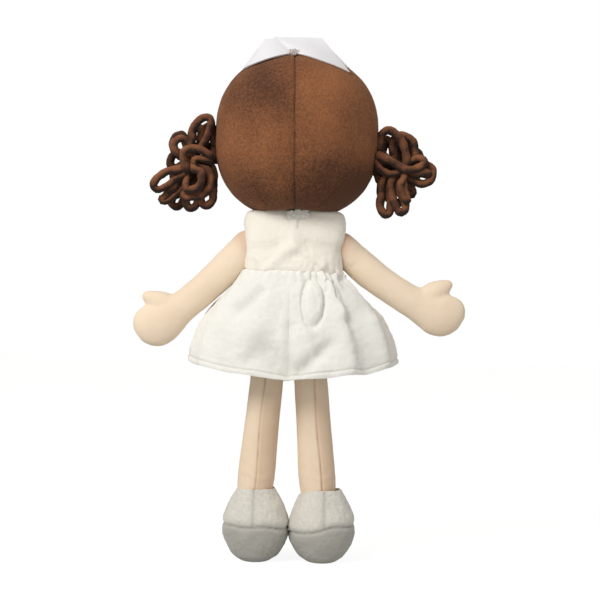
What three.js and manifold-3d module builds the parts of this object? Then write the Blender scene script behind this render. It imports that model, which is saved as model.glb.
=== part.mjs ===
import * as THREE from 'three';
import { mergeVertices } from 'three/addons/utils/BufferGeometryUtils.js';
import Module from 'manifold-3d';

// Soft cloth doll: stuffed body, corded pigtails, folded felt cap, plush dress and plush shoes.
// Millimetres, +Z up. The face looks along +Y, the back along -Y, and the soles stand on Z = 0.

const wasm = await Module();
wasm.setup();

// Cloth and clearances
const seamGap = 0.3;
const skinThickness = 0.9;
const plushThickness = 1.6;
const feltThickness = 1.2;
const cutOverrun = 6;
const flatCutDepth = 0.5;

// Shoes
const shoeHeight = 49.5;
const shoeHalfWidth = 22.5;
const heelLength = 22;
const toeLength = 43;
const shoeSeamHeight = 24.5;
const ankleRise = 1;

// Legs
const legLength = 110.6;
const legHalfWidth = 11.4;
const legHalfDepth = 11.1;
const ankleRadius = 11.8;
const hipSpread = 12.7;
const legSplay = THREE.MathUtils.degToRad(5.4);
const seamCordRadius = 1.4;
const seamCordHalfLength = 22;

// Trunk
const trunkHeight = 79.2;
const trunkHalfWidth = 31.3;
const trunkHalfDepth = 19;
const neckRadius = 9.5;
const neckRise = 10.8;

// Arms
const shoulderHeight = 58.2;
const shoulderSpread = 33;
const shoulderRadius = 11.5;
const armLength = 98;
const armHalfWidth = 10.6;
const armHalfDepth = 10;
const handHalfWidth = 15.8;
const handHalfDepth = 9;
const leftArmDrop = THREE.MathUtils.degToRad(41);
const rightArmDrop = THREE.MathUtils.degToRad(31);
const thumbPlace = 70;
const thumbLength = 25;
const thumbRadius = 7;
const thumbLean = THREE.MathUtils.degToRad(20);
const rootMouthShare = 0.74;
const tabThickness = 1.5;
const tabAngle = THREE.MathUtils.degToRad(30);

// Dress
const clothEase = 1.6;
const waistHeight = 34.3;
const neckHoleHalfWidth = 15;
const neckHoleHalfDepth = 11;
const armholeBottom = 37;
const armholeTop = 73.5;
const armholeBackReach = 13;
const armholeInset = 24;
const armholeCorner = 8;
const hemHalfWidth = 73;
const hemHalfDepth = 37;
const skirtSideDrop = 54;
const skirtBackDrop = 65;
const foldDepth = 2.4;
const foldCount = 11;
const closureWidth = 19;
const closureHeight = 7.4;
const closureOffset = 7.3;
const closureTapeThickness = 1.1;

// Head
const headHalfWidth = 56.7;
const headHalfDepth = 50;
const headRise = 56;
const headDrop = 57.4;
const dimpleDepth = 9;
const dimpleRadius = 30;
const sideSeamPlace = 6;
const hairlineHalfWidth = 47;
const hairlineRise = 28;
const hairlineDrop = 20;

// Cap
const capHeight = 68.5;
const capFootHeight = 36;
const capFootHalfWidth = 44;
const capFootDepth = 26;
const capTopDepth = 15;
const capTopLeftReach = 25.2;
const capTopRightReach = 15.6;
const capCrossingReach = 12;
const capTackReach = 1.2;
const capFrontGap = 0.4;

// Pigtails
const cordDiameter = 6;
const loopCount = 10;
const loopTurn = THREE.MathUtils.degToRad(135);
const loopStart = THREE.MathUtils.degToRad(100);
const loopPitch = 2.62;
const loopRingRadius = 6.9;
const loopReachUp = 27;
const loopReachDown = 32;
const loopReachOut = 25;
const loopReachIn = 13;
const loopFanShare = 0.1;
const tieRadius = 3.2;
const tieKnotRadius = 5;
const bunchOffset = 72;
const rootForward = 19;
const bunchBack = 21.5;
const leftBunchDrop = 17;
const rightBunchDrop = 23;

// Faces of the round forms
const headColumns = 24;
const headRows = 12;
const limbColumns = 12;
const trunkColumns = 20;
const shoeColumns = 16;
const skirtColumns = 40;
const skirtRows = 6;
const loopSteps = 16;
const cordSides = 6;
const cupColumns = 12;

const halfTurn = Math.PI;
const quarterTurn = Math.PI / 2;

// Squareness of level outlines, where 2 is an ellipse
const roundSquareShare = 2;
const limbSquareShare = 2.1;
const shoeSquareShare = 2.2;
const crownSquareShare = 2.3;
const cheekSquareShare = 2.5;
const hemSquareShare = 2.3;

// Materials
function cloth(color, roughness) {
  return new THREE.MeshStandardMaterial({ color, roughness, metalness: 0, flatShading: true });
}
const hairPlush = () => cloth(0x7b4a2e, 0.95);
const hairCord = () => cloth(0x4a2c1e, 0.9);
const skinCloth = () => cloth(0xecd3b0, 0.85);
const dressPlush = () => cloth(0xf1ece0, 0.95);
const capFelt = () => cloth(0xf2f0f4, 0.7);
const shoePlush = () => cloth(0xb9b5a9, 0.95);
const stuffing = () => cloth(0xf4f1ea, 1);
const tape = () => cloth(0xb4b0a8, 0.9);

// Closed solid of a three.js geometry, as the cutting library holds it
function solidOf(geometry) {
  const bare = geometry.clone();
  bare.deleteAttribute('normal');
  bare.deleteAttribute('uv');
  const merged = mergeVertices(bare, 1e-4);
  const vertProperties = Float32Array.from(merged.attributes.position.array);
  const triVerts = Uint32Array.from(merged.index.array);
  return new wasm.Manifold(new wasm.Mesh({ numProp: 3, vertProperties, triVerts }));
}

// Named mesh of a solid
function piece(name, solid, material) {
  const { vertProperties, triVerts } = solid.getMesh();
  const geometry = new THREE.BufferGeometry();
  geometry.setAttribute('position', new THREE.BufferAttribute(Float32Array.from(vertProperties), 3));
  geometry.setIndex(new THREE.BufferAttribute(Uint32Array.from(triVerts), 1));
  geometry.computeVertexNormals();
  const mesh = new THREE.Mesh(geometry, material);
  mesh.name = name;
  return mesh;
}

// Signed volume of an indexed triangle list, which tells whether its faces point out
function signedVolume(points, index) {
  let total = 0;
  for (let i = 0; i < index.length; i += 3) {
    const [a, b, c] = [points[index[i]], points[index[i + 1]], points[index[i + 2]]];
    total += a.dot(b.clone().cross(c)) / 6;
  }
  return total;
}

function closedGeometry(points, index) {
  const order = signedVolume(points, index) < 0 ? index.slice().reverse() : index;
  const geometry = new THREE.BufferGeometry().setFromPoints(points);
  geometry.setIndex(order);
  return geometry;
}

// Surface through a list of rings, closed at both ends by a fan
function loft(rings) {
  const columns = rings[0].length;
  const last = rings.length - 1;
  const centreOf = (ring) => ring.reduce((sum, p) => sum.add(p), new THREE.Vector3()).divideScalar(columns);
  const points = [...rings.flat(), centreOf(rings[0]), centreOf(rings[last])];
  const lowCentre = points.length - 2;
  const highCentre = points.length - 1;
  const index = [];
  for (let i = 0; i < columns; i++) {
    const next = (i + 1) % columns;
    for (let row = 0; row < last; row++) {
      const [a, b] = [row * columns + i, row * columns + next];
      index.push(a, b, b + columns, a, b + columns, a + columns);
    }
    index.push(lowCentre, next, i);
    index.push(highCentre, last * columns + i, last * columns + next);
  }
  return closedGeometry(points, index);
}

// Level ring with one half width, its own reach to the back and to the front, and squareness
function levelRing(height, halfWidth, back, front, squareness, columns) {
  return Array.from({ length: columns }, (_, i) => {
    const angle = (2 * halfTurn * i) / columns;
    const across = Math.sign(Math.cos(angle)) * Math.abs(Math.cos(angle)) ** (2 / squareness);
    const along = Math.sign(Math.sin(angle)) * Math.abs(Math.sin(angle)) ** (2 / squareness);
    return new THREE.Vector3(across * halfWidth, along * (along < 0 ? back : front), height);
  });
}

// Cloth sheet of one thickness around a closed surface function of turn and run
function sheet(surface, thickness, columns, rows) {
  const nudge = 1e-3;
  const outer = [];
  const inner = [];
  for (let row = 0; row <= rows; row++) {
    for (let i = 0; i < columns; i++) {
      const [turn, run] = [i / columns, row / rows];
      const here = surface(turn, run);
      const around = surface(turn + nudge, run).sub(surface(turn - nudge, run));
      const down = surface(turn, Math.min(1, run + nudge)).sub(surface(turn, Math.max(0, run - nudge)));
      const normal = down.cross(around).normalize();
      outer.push(here);
      inner.push(here.clone().addScaledVector(normal, -thickness));
    }
  }
  const points = [...outer, ...inner];
  const index = [];
  const quad = (a, b, c, d) => index.push(a, b, c, a, c, d);
  for (let i = 0; i < columns; i++) {
    const next = (i + 1) % columns;
    for (let row = 0; row < rows; row++) {
      const [a, b] = [row * columns + i, row * columns + next];
      quad(a, b, b + columns, a + columns);
      quad(outer.length + b, outer.length + a, outer.length + a + columns, outer.length + b + columns);
    }
    const foot = rows * columns;
    quad(next, i, outer.length + i, outer.length + next);
    quad(foot + i, foot + next, outer.length + foot + next, outer.length + foot + i);
  }
  return closedGeometry(points, index);
}

// Box between two corners
function boxBetween(low, high) {
  const size = high.clone().sub(low);
  const middle = low.clone().add(high).multiplyScalar(0.5);
  return new THREE.BoxGeometry(size.x, size.y, size.z).translate(middle.x, middle.y, middle.z);
}

// Prism of an outline drawn in X and Z, running along Y
function prismAlongY(shape, from, to) {
  const prism = new THREE.ExtrudeGeometry(shape, { depth: to - from, bevelEnabled: false, curveSegments: 16 });
  return prism.rotateX(quarterTurn).translate(0, to, 0);
}

// Ball whose flat faces clear the round of the given radius, for cutting a cup
function cupAt(radius, x, y, z) {
  const clear = radius / Math.cos(halfTurn / cupColumns) ** 2;
  return new THREE.SphereGeometry(clear, cupColumns, cupColumns / 2).translate(x, y, z);
}

// Straight cylinder along Z between two heights
function uprightCylinder(radius, from, to, columns = 24) {
  const cylinder = new THREE.CylinderGeometry(radius, radius, to - from, columns);
  return cylinder.rotateX(quarterTurn).translate(0, 0, (from + to) / 2);
}

// Head: fuller at the cheeks than at the crown, drawn in under the chin where the neck is sewn
function headForm(inset, columns, rows) {
  const rings = [];
  for (let row = 1; row < rows; row++) {
    const angle = (halfTurn * row) / rows;
    const squareness = angle < quarterTurn ? crownSquareShare : cheekSquareShare;
    const spread = Math.sin(angle) ** (2 / squareness);
    const rise = Math.abs(Math.cos(angle)) ** (2 / squareness);
    const height = angle < quarterTurn ? rise * (headRise - inset) : -rise * (headDrop - inset);
    const width = spread * (headHalfWidth - inset);
    const depth = spread * (headHalfDepth - inset);
    rings.push(levelRing(height, width, depth, depth, roundSquareShare, columns));
  }
  const geometry = loft(rings);
  const place = geometry.attributes.position;
  const lastPole = place.count - 1;
  place.setZ(lastPole - 1, headRise - inset);
  place.setZ(lastPole, -(headDrop - inset));
  for (let i = 0; i < place.count; i++) {
    const reach = Math.min(1, Math.hypot(place.getX(i), place.getY(i)) / dimpleRadius);
    const dimple = (dimpleDepth * (1 + Math.cos(halfTurn * reach))) / 2;
    if (place.getZ(i) < 0) place.setZ(i, place.getZ(i) + dimple);
  }
  return geometry;
}

function headPieces() {
  const far = 2 * headHalfWidth;
  const halfGap = seamGap / 2;
  const socketTop = dimpleDepth - headDrop + plushThickness + seamGap;
  const socket = solidOf(uprightCylinder(neckRadius + seamGap, -far, socketTop));
  const shell = solidOf(headForm(0, headColumns, headRows))
    .subtract(solidOf(headForm(plushThickness, headColumns, headRows)))
    .subtract(socket);
  const filling = solidOf(headForm(plushThickness + seamGap, headColumns / 2, headRows)).subtract(socket);

  const zone = (x0, x1, y0, y1) =>
    solidOf(boxBetween(new THREE.Vector3(x0, y0, -far), new THREE.Vector3(x1, y1, far)));
  const backLeft = shell.intersect(zone(-far, -halfGap, -far, sideSeamPlace - halfGap));
  const backRight = shell.intersect(zone(halfGap, far, -far, sideSeamPlace - halfGap));
  const front = shell.intersect(zone(-far, far, sideSeamPlace + halfGap, far));

  // The face panel reaches up to a round hairline, and the fringe covers the rest of the front
  const faceOutline = (gap) => {
    const shape = new THREE.Shape();
    shape.moveTo(-far, -far);
    shape.lineTo(far, -far);
    shape.lineTo(far, gap - hairlineDrop);
    shape.lineTo(hairlineHalfWidth + gap, gap - hairlineDrop);
    const [width, height] = [hairlineHalfWidth + gap, hairlineRise + hairlineDrop];
    shape.absellipse(0, gap - hairlineDrop, width, height, 0, halfTurn, false);
    shape.lineTo(-far, gap - hairlineDrop);
    return solidOf(prismAlongY(shape, 0, far));
  };
  const face = front.intersect(faceOutline(-halfGap));
  const fringe = front.subtract(faceOutline(halfGap));
  const fringeLeft = fringe.intersect(zone(-far, -halfGap, 0, far));
  const fringeRight = fringe.intersect(zone(halfGap, far, 0, far));
  return [
    piece('head_back_left', backLeft, hairPlush()),
    piece('head_back_right', backRight, hairPlush()),
    piece('face_panel', face, skinCloth()),
    piece('fringe_left', fringeLeft, hairPlush()),
    piece('fringe_right', fringeRight, hairPlush()),
    piece('head_filling', filling, stuffing()),
  ];
}

// Cap: a band of felt that stands up in front and whose two ends cross flat over the crown
function capPieces() {
  const head = solidOf(headForm(-seamGap, headColumns, headRows));
  const half = feltThickness / 2;
  const outline = (points) => new THREE.Shape(points.map(([x, z]) => new THREE.Vector2(x, z)));
  const leftWing = outline([
    [-capFootHalfWidth, capFootHeight],
    [capTackReach, capFootHeight],
    [capTackReach, headRise],
    [-capCrossingReach, capHeight - feltThickness],
    [-capTopLeftReach, capHeight - feltThickness],
  ]);
  const rightWing = outline([
    [capFootHalfWidth, capFootHeight],
    [capTopRightReach, capHeight],
    [-capCrossingReach, capHeight],
    [-capTackReach, capFootHeight],
  ]);
  const rightPlace = half + seamGap;
  const frontPlace = rightPlace + feltThickness + capFrontGap + half;

  // Front band, ruled between a wide curve on the hair and a narrower one at the top
  const middleTop = (capTopRightReach - capTopLeftReach) / 2;
  const topHalf = (capTopRightReach + capTopLeftReach) / 2;
  const bend = (share, middle, halfWidth, depth, height) =>
    new THREE.Vector3(
      middle - Math.cos(halfTurn * share) * halfWidth,
      frontPlace + Math.sin(halfTurn * share) * depth,
      height,
    );
  const steps = 12;
  const rings = Array.from({ length: steps + 1 }, (_, i) => {
    const share = i / steps;
    const foot = bend(share, 0, capFootHalfWidth, capFootDepth, capFootHeight);
    const top = bend(share, middleTop, topHalf, capTopDepth, capHeight);
    const out = new THREE.Vector3(-Math.cos(halfTurn * share), Math.sin(halfTurn * share), 0);
    const shift = out.multiplyScalar(half);
    return [foot.clone().sub(shift), foot.clone().add(shift), top.clone().add(shift), top.clone().sub(shift)];
  });
  const cut = (geometry) => solidOf(geometry).subtract(head);
  return [
    piece('cap_left_wing', cut(prismAlongY(leftWing, -half, half)), capFelt()),
    piece('cap_right_wing', cut(prismAlongY(rightWing, rightPlace, rightPlace + feltThickness)), capFelt()),
    piece('cap_front', cut(loft(rings)), capFelt()),
  ];
}

// Tube along a curve
function tube(curve, radius, sides, steps) {
  const outline = Array.from({ length: sides }, (_, i) => {
    const angle = (2 * halfTurn * i) / sides;
    return new THREE.Vector2(Math.cos(angle) * radius, Math.sin(angle) * radius);
  });
  const options = { steps, extrudePath: curve, bevelEnabled: false };
  return new THREE.ExtrudeGeometry(new THREE.Shape(outline), options);
}

// Reach of the loops in one direction of the picture plane: long below, short towards the head
function loopReach(angle) {
  const [across, up] = [Math.cos(angle), Math.sin(angle)];
  const level = across > 0 ? loopReachOut : loopReachIn;
  const upright = up > 0 ? loopReachUp : loopReachDown;
  return 1 / Math.hypot(across / level, up / upright);
}

// Centre line of one pigtail: a single cord that opens into a loop at every turn round its tie
function loopPoints(side) {
  const points = [];
  const total = loopCount * loopSteps;
  const hidden = tieRadius + seamGap;
  const place = (radius, angle, depth) =>
    new THREE.Vector3(side * radius * Math.cos(angle), depth, radius * Math.sin(angle));
  for (let i = 0; i <= total; i++) {
    const run = i / loopSteps;
    const angle = loopStart + loopTurn * run;
    const open = Math.sin(halfTurn * run) ** 2;
    const radius = loopRingRadius + (loopReach(angle) - loopRingRadius) * open;
    const layer = loopPitch * (run - loopCount / 2);
    points.push(place(radius, angle, layer * (1 + loopFanShare * open)));
  }
  // Both ends run straight out of the tie for one cord diameter
  const endAngles = [loopStart, loopStart + loopTurn * loopCount];
  const endDepths = [(-loopPitch * loopCount) / 2, (loopPitch * loopCount) / 2];
  const ends = endAngles.map((angle, i) => [
    place(hidden, angle, endDepths[i]),
    place(hidden + cordDiameter, angle, endDepths[i]),
  ]);
  const trimmed = points.slice(2, -2);
  return [ends[0][0], ends[0][1], ...trimmed, ends[1][1], ends[1][0]];
}

// Least gap between two stretches of one cord that are further apart along it than across it
function leastSelfGap(curve, diameter) {
  const samples = curve.getSpacedPoints(60 * loopCount);
  const stride = curve.getLength() / (samples.length - 1);
  const apart = Math.ceil((halfTurn * diameter) / (2 * stride));
  let least = Infinity;
  for (let i = 0; i < samples.length; i++) {
    for (let j = i + apart; j < samples.length; j++) least = Math.min(least, samples[i].distanceTo(samples[j]));
  }
  return least - diameter;
}

// Side of the head at a depth in front of its middle and a drop below it
function headSide(forward, drop) {
  const ring = (1 - (drop / headDrop) ** cheekSquareShare) ** (1 / cheekSquareShare);
  return headHalfWidth * ring * Math.sqrt(1 - (forward / (headHalfDepth * ring)) ** 2);
}

// Bend of the tie where it turns back into the loops: out and forward in shares of its radius
const tieBendShares = [
  [-1.4, 0],
  [-0.1, -1.3],
  [0, -3],
];

function pigtail(side, word, drop) {
  // The tie is a bent cord: sewn to the side of the head, bent back through the loops, knotted at its end
  const rootOut = headSide(rootForward, drop);
  const headSurface = solidOf(headForm(0, headColumns, headRows).translate(-side * rootOut, -rootForward, drop));
  const rootBall = (out) =>
    solidOf(new THREE.SphereGeometry(tieRadius, 12, 8).rotateZ(quarterTurn).translate(side * out, 0, 0));

  // Its round end is moved in until it lies one seam gap off the head
  let start = 2 * tieRadius;
  for (let i = 0; i < 6; i++) start -= rootBall(start).minGap(headSurface, headHalfWidth) - seamGap;
  const reach = bunchOffset - rootOut;
  const halfStack = (loopPitch * loopCount * (1 + loopFanShare) + cordDiameter) / 2;
  const route = [
    [start, 0],
    [(start + reach) / 2, 0],
    ...tieBendShares.map(([out, forward]) => [reach + out * tieRadius, forward * tieRadius]),
    [reach, -bunchBack - halfStack],
  ];
  const curve = new THREE.CatmullRomCurve3(route.map(([x, y]) => new THREE.Vector3(side * x, y, 0)));
  const knotPlace = -bunchBack - halfStack - tieKnotRadius / 2;
  const knotBall = new THREE.SphereGeometry(tieKnotRadius, 8, 6).translate(side * reach, knotPlace, 0);
  const tie = solidOf(tube(curve, tieRadius, 8, 14)).add(solidOf(knotBall)).add(rootBall(start));

  const loopCurve = new THREE.CatmullRomCurve3(loopPoints(side));
  console.log(`${word} pigtail: least gap of the cord to itself ${leastSelfGap(loopCurve, cordDiameter).toFixed(2)} mm`);
  const loops = solidOf(tube(loopCurve, cordDiameter / 2, cordSides, loopCount * loopSteps));

  const loopGroup = new THREE.Group();
  loopGroup.position.set(side * reach, -bunchBack, 0);
  loopGroup.add(piece(`pigtail_loops_${word}`, loops, hairCord()));
  const tieGroup = new THREE.Group();
  tieGroup.position.set(side * rootOut, rootForward, -drop);
  tieGroup.add(piece(`pigtail_tie_${word}`, tie, hairCord()), loopGroup);
  return tieGroup;
}

// Trunk profile from the leg seam to the neck: height, width, depth and squareness of each ring
const trunkRowShares = [
  [0.022, 0.6, 0.075, 2.2],
  [0.063, 0.68, 0.235, 2.3],
  [0.155, 0.8, 0.57, 2.5],
  [0.27, 0.89, 0.86, 2.8],
  [0.36, 0.93, 0.95, 3.0],
  [0.433, 0.94, 0.98, 3.2],
  [0.58, 0.95, 0.99, 3.5],
  [0.73, 1.0, 0.96, 3.6],
  [0.85, 1.0, 0.86, 3.4],
  [0.93, 0.97, 0.73, 2.8],
  [0.975, 0.88, 0.63, 2.4],
  [1.0, 0.74, 0.56, 2.2],
];

function trunkForm(outset, columns = trunkColumns, firstRow = 0, topOutset = outset) {
  const rows = trunkRowShares.slice(firstRow);
  const top = rows.length - 1;
  const rings = rows.map(([height, width, depth, squareness], i) => {
    const place = height * trunkHeight + (i === top ? topOutset : 0);
    const reach = depth * trunkHalfDepth + outset;
    return levelRing(place, width * trunkHalfWidth + outset, reach, reach, squareness, columns);
  });
  return loft(rings);
}

const tabOuterRadius = shoulderRadius + seamGap + tabThickness;

function trunkPieces() {
  const far = 3 * trunkHeight;
  const halfGap = seamGap / 2;
  const neckCup = solidOf(cupAt(neckRadius + seamGap, 0, 0, trunkHeight));
  const shoulderCups = [-1, 1].map((side) =>
    solidOf(cupAt(tabOuterRadius + seamGap, side * shoulderSpread, 0, shoulderHeight)),
  );
  const carve = (solid) => shoulderCups.reduce((left, cup) => left.subtract(cup), solid.subtract(neckCup));
  const inside = trunkForm(-skinThickness, trunkColumns, 1);
  const shell = carve(solidOf(trunkForm(0)).subtract(solidOf(inside)));
  const half = (y0, y1) => solidOf(boxBetween(new THREE.Vector3(-far, y0, -far), new THREE.Vector3(far, y1, far)));
  const filling = carve(solidOf(trunkForm(-skinThickness - seamGap, trunkColumns / 2, 2)));
  return [
    piece('torso_front', shell.intersect(half(halfGap, far)), skinCloth()),
    piece('torso_back', shell.intersect(half(-far, -halfGap)), skinCloth()),
    piece('torso_filling', filling, stuffing()),
  ];
}

// Dress
function bodicePieces() {
  const far = 3 * trunkHeight;
  const halfGap = seamGap / 2;
  const bottom = waistHeight + halfGap;
  const neckHole = solidOf(
    uprightCylinder(1, trunkHeight / 2, far).scale(neckHoleHalfWidth, neckHoleHalfDepth, 1),
  );
  const armhole = (side) => {
    const [y0, y1] = [-armholeBackReach, trunkHalfDepth + cutOverrun];
    const [z0, z1, corner] = [armholeBottom, armholeTop, armholeCorner];
    const shape = new THREE.Shape();
    shape.moveTo(y1, z0);
    shape.lineTo(y1, z1);
    shape.lineTo(y0 + corner, z1);
    shape.quadraticCurveTo(y0, z1, y0, z1 - corner);
    shape.lineTo(y0, z0 + corner);
    shape.quadraticCurveTo(y0, z0, y0 + corner, z0);
    const depth = trunkHalfWidth - armholeInset + cutOverrun;
    const prism = new THREE.ExtrudeGeometry(shape, { depth, bevelEnabled: false, curveSegments: 5 });
    prism.applyMatrix4(
      new THREE.Matrix4().makeBasis(
        new THREE.Vector3(0, 1, 0),
        new THREE.Vector3(0, 0, 1),
        new THREE.Vector3(1, 0, 0),
      ),
    );
    prism.translate(side > 0 ? armholeInset : -armholeInset - depth, 0, 0);
    return solidOf(prism);
  };
  const outer = solidOf(trunkForm(clothEase + plushThickness, trunkColumns, 0, seamGap + plushThickness));
  const inner = solidOf(trunkForm(clothEase, trunkColumns, 0, seamGap));
  const shell = outer.subtract(inner).subtract(neckHole).subtract(armhole(-1)).subtract(armhole(1));
  const zone = (x0, x1, y0, y1) =>
    solidOf(boxBetween(new THREE.Vector3(x0, y0, bottom), new THREE.Vector3(x1, y1, far)));
  return [
    piece('bodice_front', shell.intersect(zone(-far, far, halfGap, far)), dressPlush()),
    piece('bodice_back_left', shell.intersect(zone(-far, -halfGap, -far, -halfGap)), dressPlush()),
    piece('bodice_back_right', shell.intersect(zone(halfGap, far, -far, -halfGap)), dressPlush()),
  ];
}

// Hook-and-loop closure at the nape: a fixed tape on the right panel under a tab that peels off
const tapeOutset = clothEase + plushThickness + seamGap;
const tabOutset = tapeOutset + closureTapeThickness + seamGap;
const napeRow = 9;

function tapePatch(outset, thickness, x0, x1, z0, z1) {
  const zone = boxBetween(new THREE.Vector3(x0, -2 * trunkHalfDepth, z0), new THREE.Vector3(x1, 0, z1));
  return solidOf(trunkForm(outset + thickness))
    .subtract(solidOf(trunkForm(outset)))
    .intersect(solidOf(zone));
}

function closurePieces() {
  const top = trunkHeight;
  const bottom = top - closureHeight;
  const margin = closureTapeThickness;
  const right = closureWidth - closureOffset;
  const patch = tapePatch(tapeOutset, closureTapeThickness, margin, right - margin, bottom + margin, top - margin);
  const tabSolid = tapePatch(tabOutset, closureTapeThickness, -closureOffset, right, bottom, top);
  const hinge = new THREE.Group();
  const [, , napeDepthShare] = trunkRowShares[napeRow];
  const hingeDepth = -(napeDepthShare * trunkHalfDepth + tabOutset + closureTapeThickness);
  hinge.position.set(-closureOffset, hingeDepth, 0);
  const tab = piece('closure_hook_tab', tabSolid, tape());
  tab.geometry.translate(closureOffset, -hingeDepth, 0);
  hinge.add(tab);
  return [piece('closure_loop_tape', patch, tape()), hinge];
}

// Row of the trunk profile at which the skirt is sewn on
const skirtRow = 5;
const flareShare = 0.6;
const fallShare = 1.2;

// Skirt: flares quickly at the waist, falls to the hem and stands in soft folds
function skirtSurface(turn, run) {
  const angle = 2 * halfTurn * turn;
  const [, waistShare, , waistSquareness] = trunkRowShares[skirtRow];
  const squareness = THREE.MathUtils.lerp(waistSquareness, hemSquareShare, Math.sqrt(run));
  const rounded = (value) => Math.sign(value) * Math.abs(value) ** (2 / squareness);
  const [across, along] = [rounded(Math.cos(angle)), rounded(Math.sin(angle))];
  const out = run ** flareShare;
  const waistWidth = waistShare * trunkHalfWidth + clothEase + plushThickness / 2;
  const waistDepth = trunkHalfDepth + clothEase + plushThickness / 2;
  const fold = foldDepth * run * Math.cos(foldCount * angle);
  const width = waistWidth + (hemHalfWidth - waistWidth) * out + fold;
  const depth = waistDepth + (hemHalfDepth - waistDepth) * out + fold;
  const drop = skirtSideDrop + (skirtBackDrop - skirtSideDrop) * Math.sin(angle) ** 2;
  return new THREE.Vector3(across * width, along * depth, waistHeight - seamGap / 2 - drop * run ** fallShare);
}

function skirtPiece() {
  return piece('skirt', solidOf(sheet(skirtSurface, plushThickness, skirtColumns, skirtRows)), dressPlush());
}

// Arm: round shoulder, slimmer forearm, flat mitten hand. Rows: place, width and depth
const armRowShares = [
  [0.13, 1.02, 1.04],
  [0.28, 1.08, 1.06],
  [0.45, 1.0, 1.0],
  [0.6, 0.98, 0.96],
];
const handRowShares = [
  [0.68, 0.8, 1.02],
  [0.76, 0.96, 1.04],
  [0.84, 1.0, 1.0],
  [0.91, 0.86, 0.86],
  [0.965, 0.58, 0.6],
  [0.995, 0.2, 0.22],
];

function armForm(inset, columns) {
  const rings = [];
  const ballRows = 3;
  for (let row = 1; row <= ballRows; row++) {
    const angle = (quarterTurn * row) / ballRows;
    const radius = (shoulderRadius - inset) * Math.sin(angle);
    rings.push(levelRing(-(shoulderRadius - inset) * Math.cos(angle), radius, radius, radius, roundSquareShare, columns));
  }
  const addRow = ([place, width, depth], fullWidth, fullDepth) => {
    const reach = depth * fullDepth - inset;
    rings.push(levelRing(place * (armLength - inset), width * fullWidth - inset, reach, reach, limbSquareShare, columns));
  };
  armRowShares.forEach((row) => addRow(row, armHalfWidth, armHalfDepth));
  handRowShares.forEach((row) => addRow(row, handHalfWidth, handHalfDepth));
  return loft(rings);
}

function thumbForm(side, inset) {
  const profile = [
    [0, 0],
    [1, 0.08],
    [1.02, 0.4],
    [0.82, 0.68],
    [0.52, 0.9],
    [0, 1],
  ].map(([radius, place], i, rows) => {
    const outermost = i === 0 || i === rows.length - 1;
    const reach = outermost ? 0 : radius * thumbRadius - inset;
    return new THREE.Vector2(reach, place * (thumbLength - inset));
  });
  const thumb = new THREE.LatheGeometry(profile, 10);
  return thumb.rotateZ(side * quarterTurn).rotateY(side * thumbLean).translate(0, 0, thumbPlace);
}

function armPieces(side, word) {
  const carveForm = (inset, columns) => solidOf(armForm(inset, columns)).add(solidOf(thumbForm(side, inset)));
  const rootMouth = boxBetween(
    new THREE.Vector3(-shoulderRadius, -shoulderRadius, -2 * shoulderRadius),
    new THREE.Vector3(shoulderRadius, shoulderRadius, -rootMouthShare * shoulderRadius),
  );
  const skin = carveForm(0, limbColumns).subtract(carveForm(skinThickness, limbColumns)).subtract(solidOf(rootMouth));
  const filling = solidOf(armForm(skinThickness + seamGap, limbColumns));
  return [
    piece(`arm_skin_${word}`, skin, skinCloth()),
    piece(`arm_filling_${word}`, filling, stuffing()),
  ];
}

function arm(side, word, drop) {
  // The shoulder tab is the round end by which the arm is sewn to the side seam of the trunk
  const inner = shoulderRadius + seamGap;
  const steps = 3;
  const arc = (radius, share) =>
    new THREE.Vector2(radius * Math.sin(tabAngle * share), radius * Math.cos(tabAngle * share));
  const shares = Array.from({ length: steps + 1 }, (_, i) => i / steps);
  const profile = [
    ...shares.map((share) => arc(inner, share)),
    ...shares.toReversed().map((share) => arc(tabOuterRadius, share)),
  ];
  const tab = new THREE.LatheGeometry(profile, 8).rotateZ(side * quarterTurn);

  const armGroup = new THREE.Group();
  armGroup.rotation.y = side * (quarterTurn + drop);
  armGroup.add(...armPieces(side, word));
  const tabGroup = new THREE.Group();
  tabGroup.position.set(side * shoulderSpread, 0, shoulderHeight);
  tabGroup.add(piece(`shoulder_tab_${word}`, solidOf(tab), skinCloth()), armGroup);
  return tabGroup;
}

// Leg: pinched flat at the seam, full below, a round ankle. Rows: place, width and depth
const legRowShares = [
  [0.0155, 0.62, 0.14],
  [0.045, 0.82, 0.41],
  [0.08, 0.95, 0.72],
  [0.125, 1.0, 0.95],
  [0.36, 0.98, 0.99],
  [0.7, 1.01, 1.0],
  [0.88, 1.04, 1.04],
];

function legForm(inset, columns, firstRow, lead) {
  const rings = legRowShares.slice(firstRow).map(([place, width, depth], i) => {
    const height = (i === 0 ? lead : 0) - place * legLength;
    const reach = Math.max(depth * legHalfDepth - inset, seamGap);
    return levelRing(height, width * legHalfWidth - inset, reach, reach, limbSquareShare, columns);
  });
  const ballRows = 3;
  for (let row = 0; row < ballRows; row++) {
    const angle = (quarterTurn * row) / ballRows;
    const radius = (ankleRadius - inset) * Math.cos(angle);
    const height = -legLength - (ankleRadius - inset) * Math.sin(angle);
    rings.push(levelRing(height, radius, radius, radius, roundSquareShare, columns));
  }
  return loft(rings);
}

// Shoe: level rings with their own reach to heel and toe. Rows: height, width, heel and toe
const shoeRowShares = [
  [0.0, 0.2, 0.52, 0.6],
  [0.028, 0.36, 0.68, 0.74],
  [0.113, 0.66, 0.85, 0.9],
  [0.25, 0.91, 0.965, 0.985],
  [0.42, 1.0, 1.0, 0.99],
  [0.6, 0.97, 0.96, 0.87],
  [0.76, 0.88, 0.83, 0.66],
  [0.89, 0.74, 0.7, 0.46],
  [1.0, 0.6, 0.61, 0.315],
];

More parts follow.
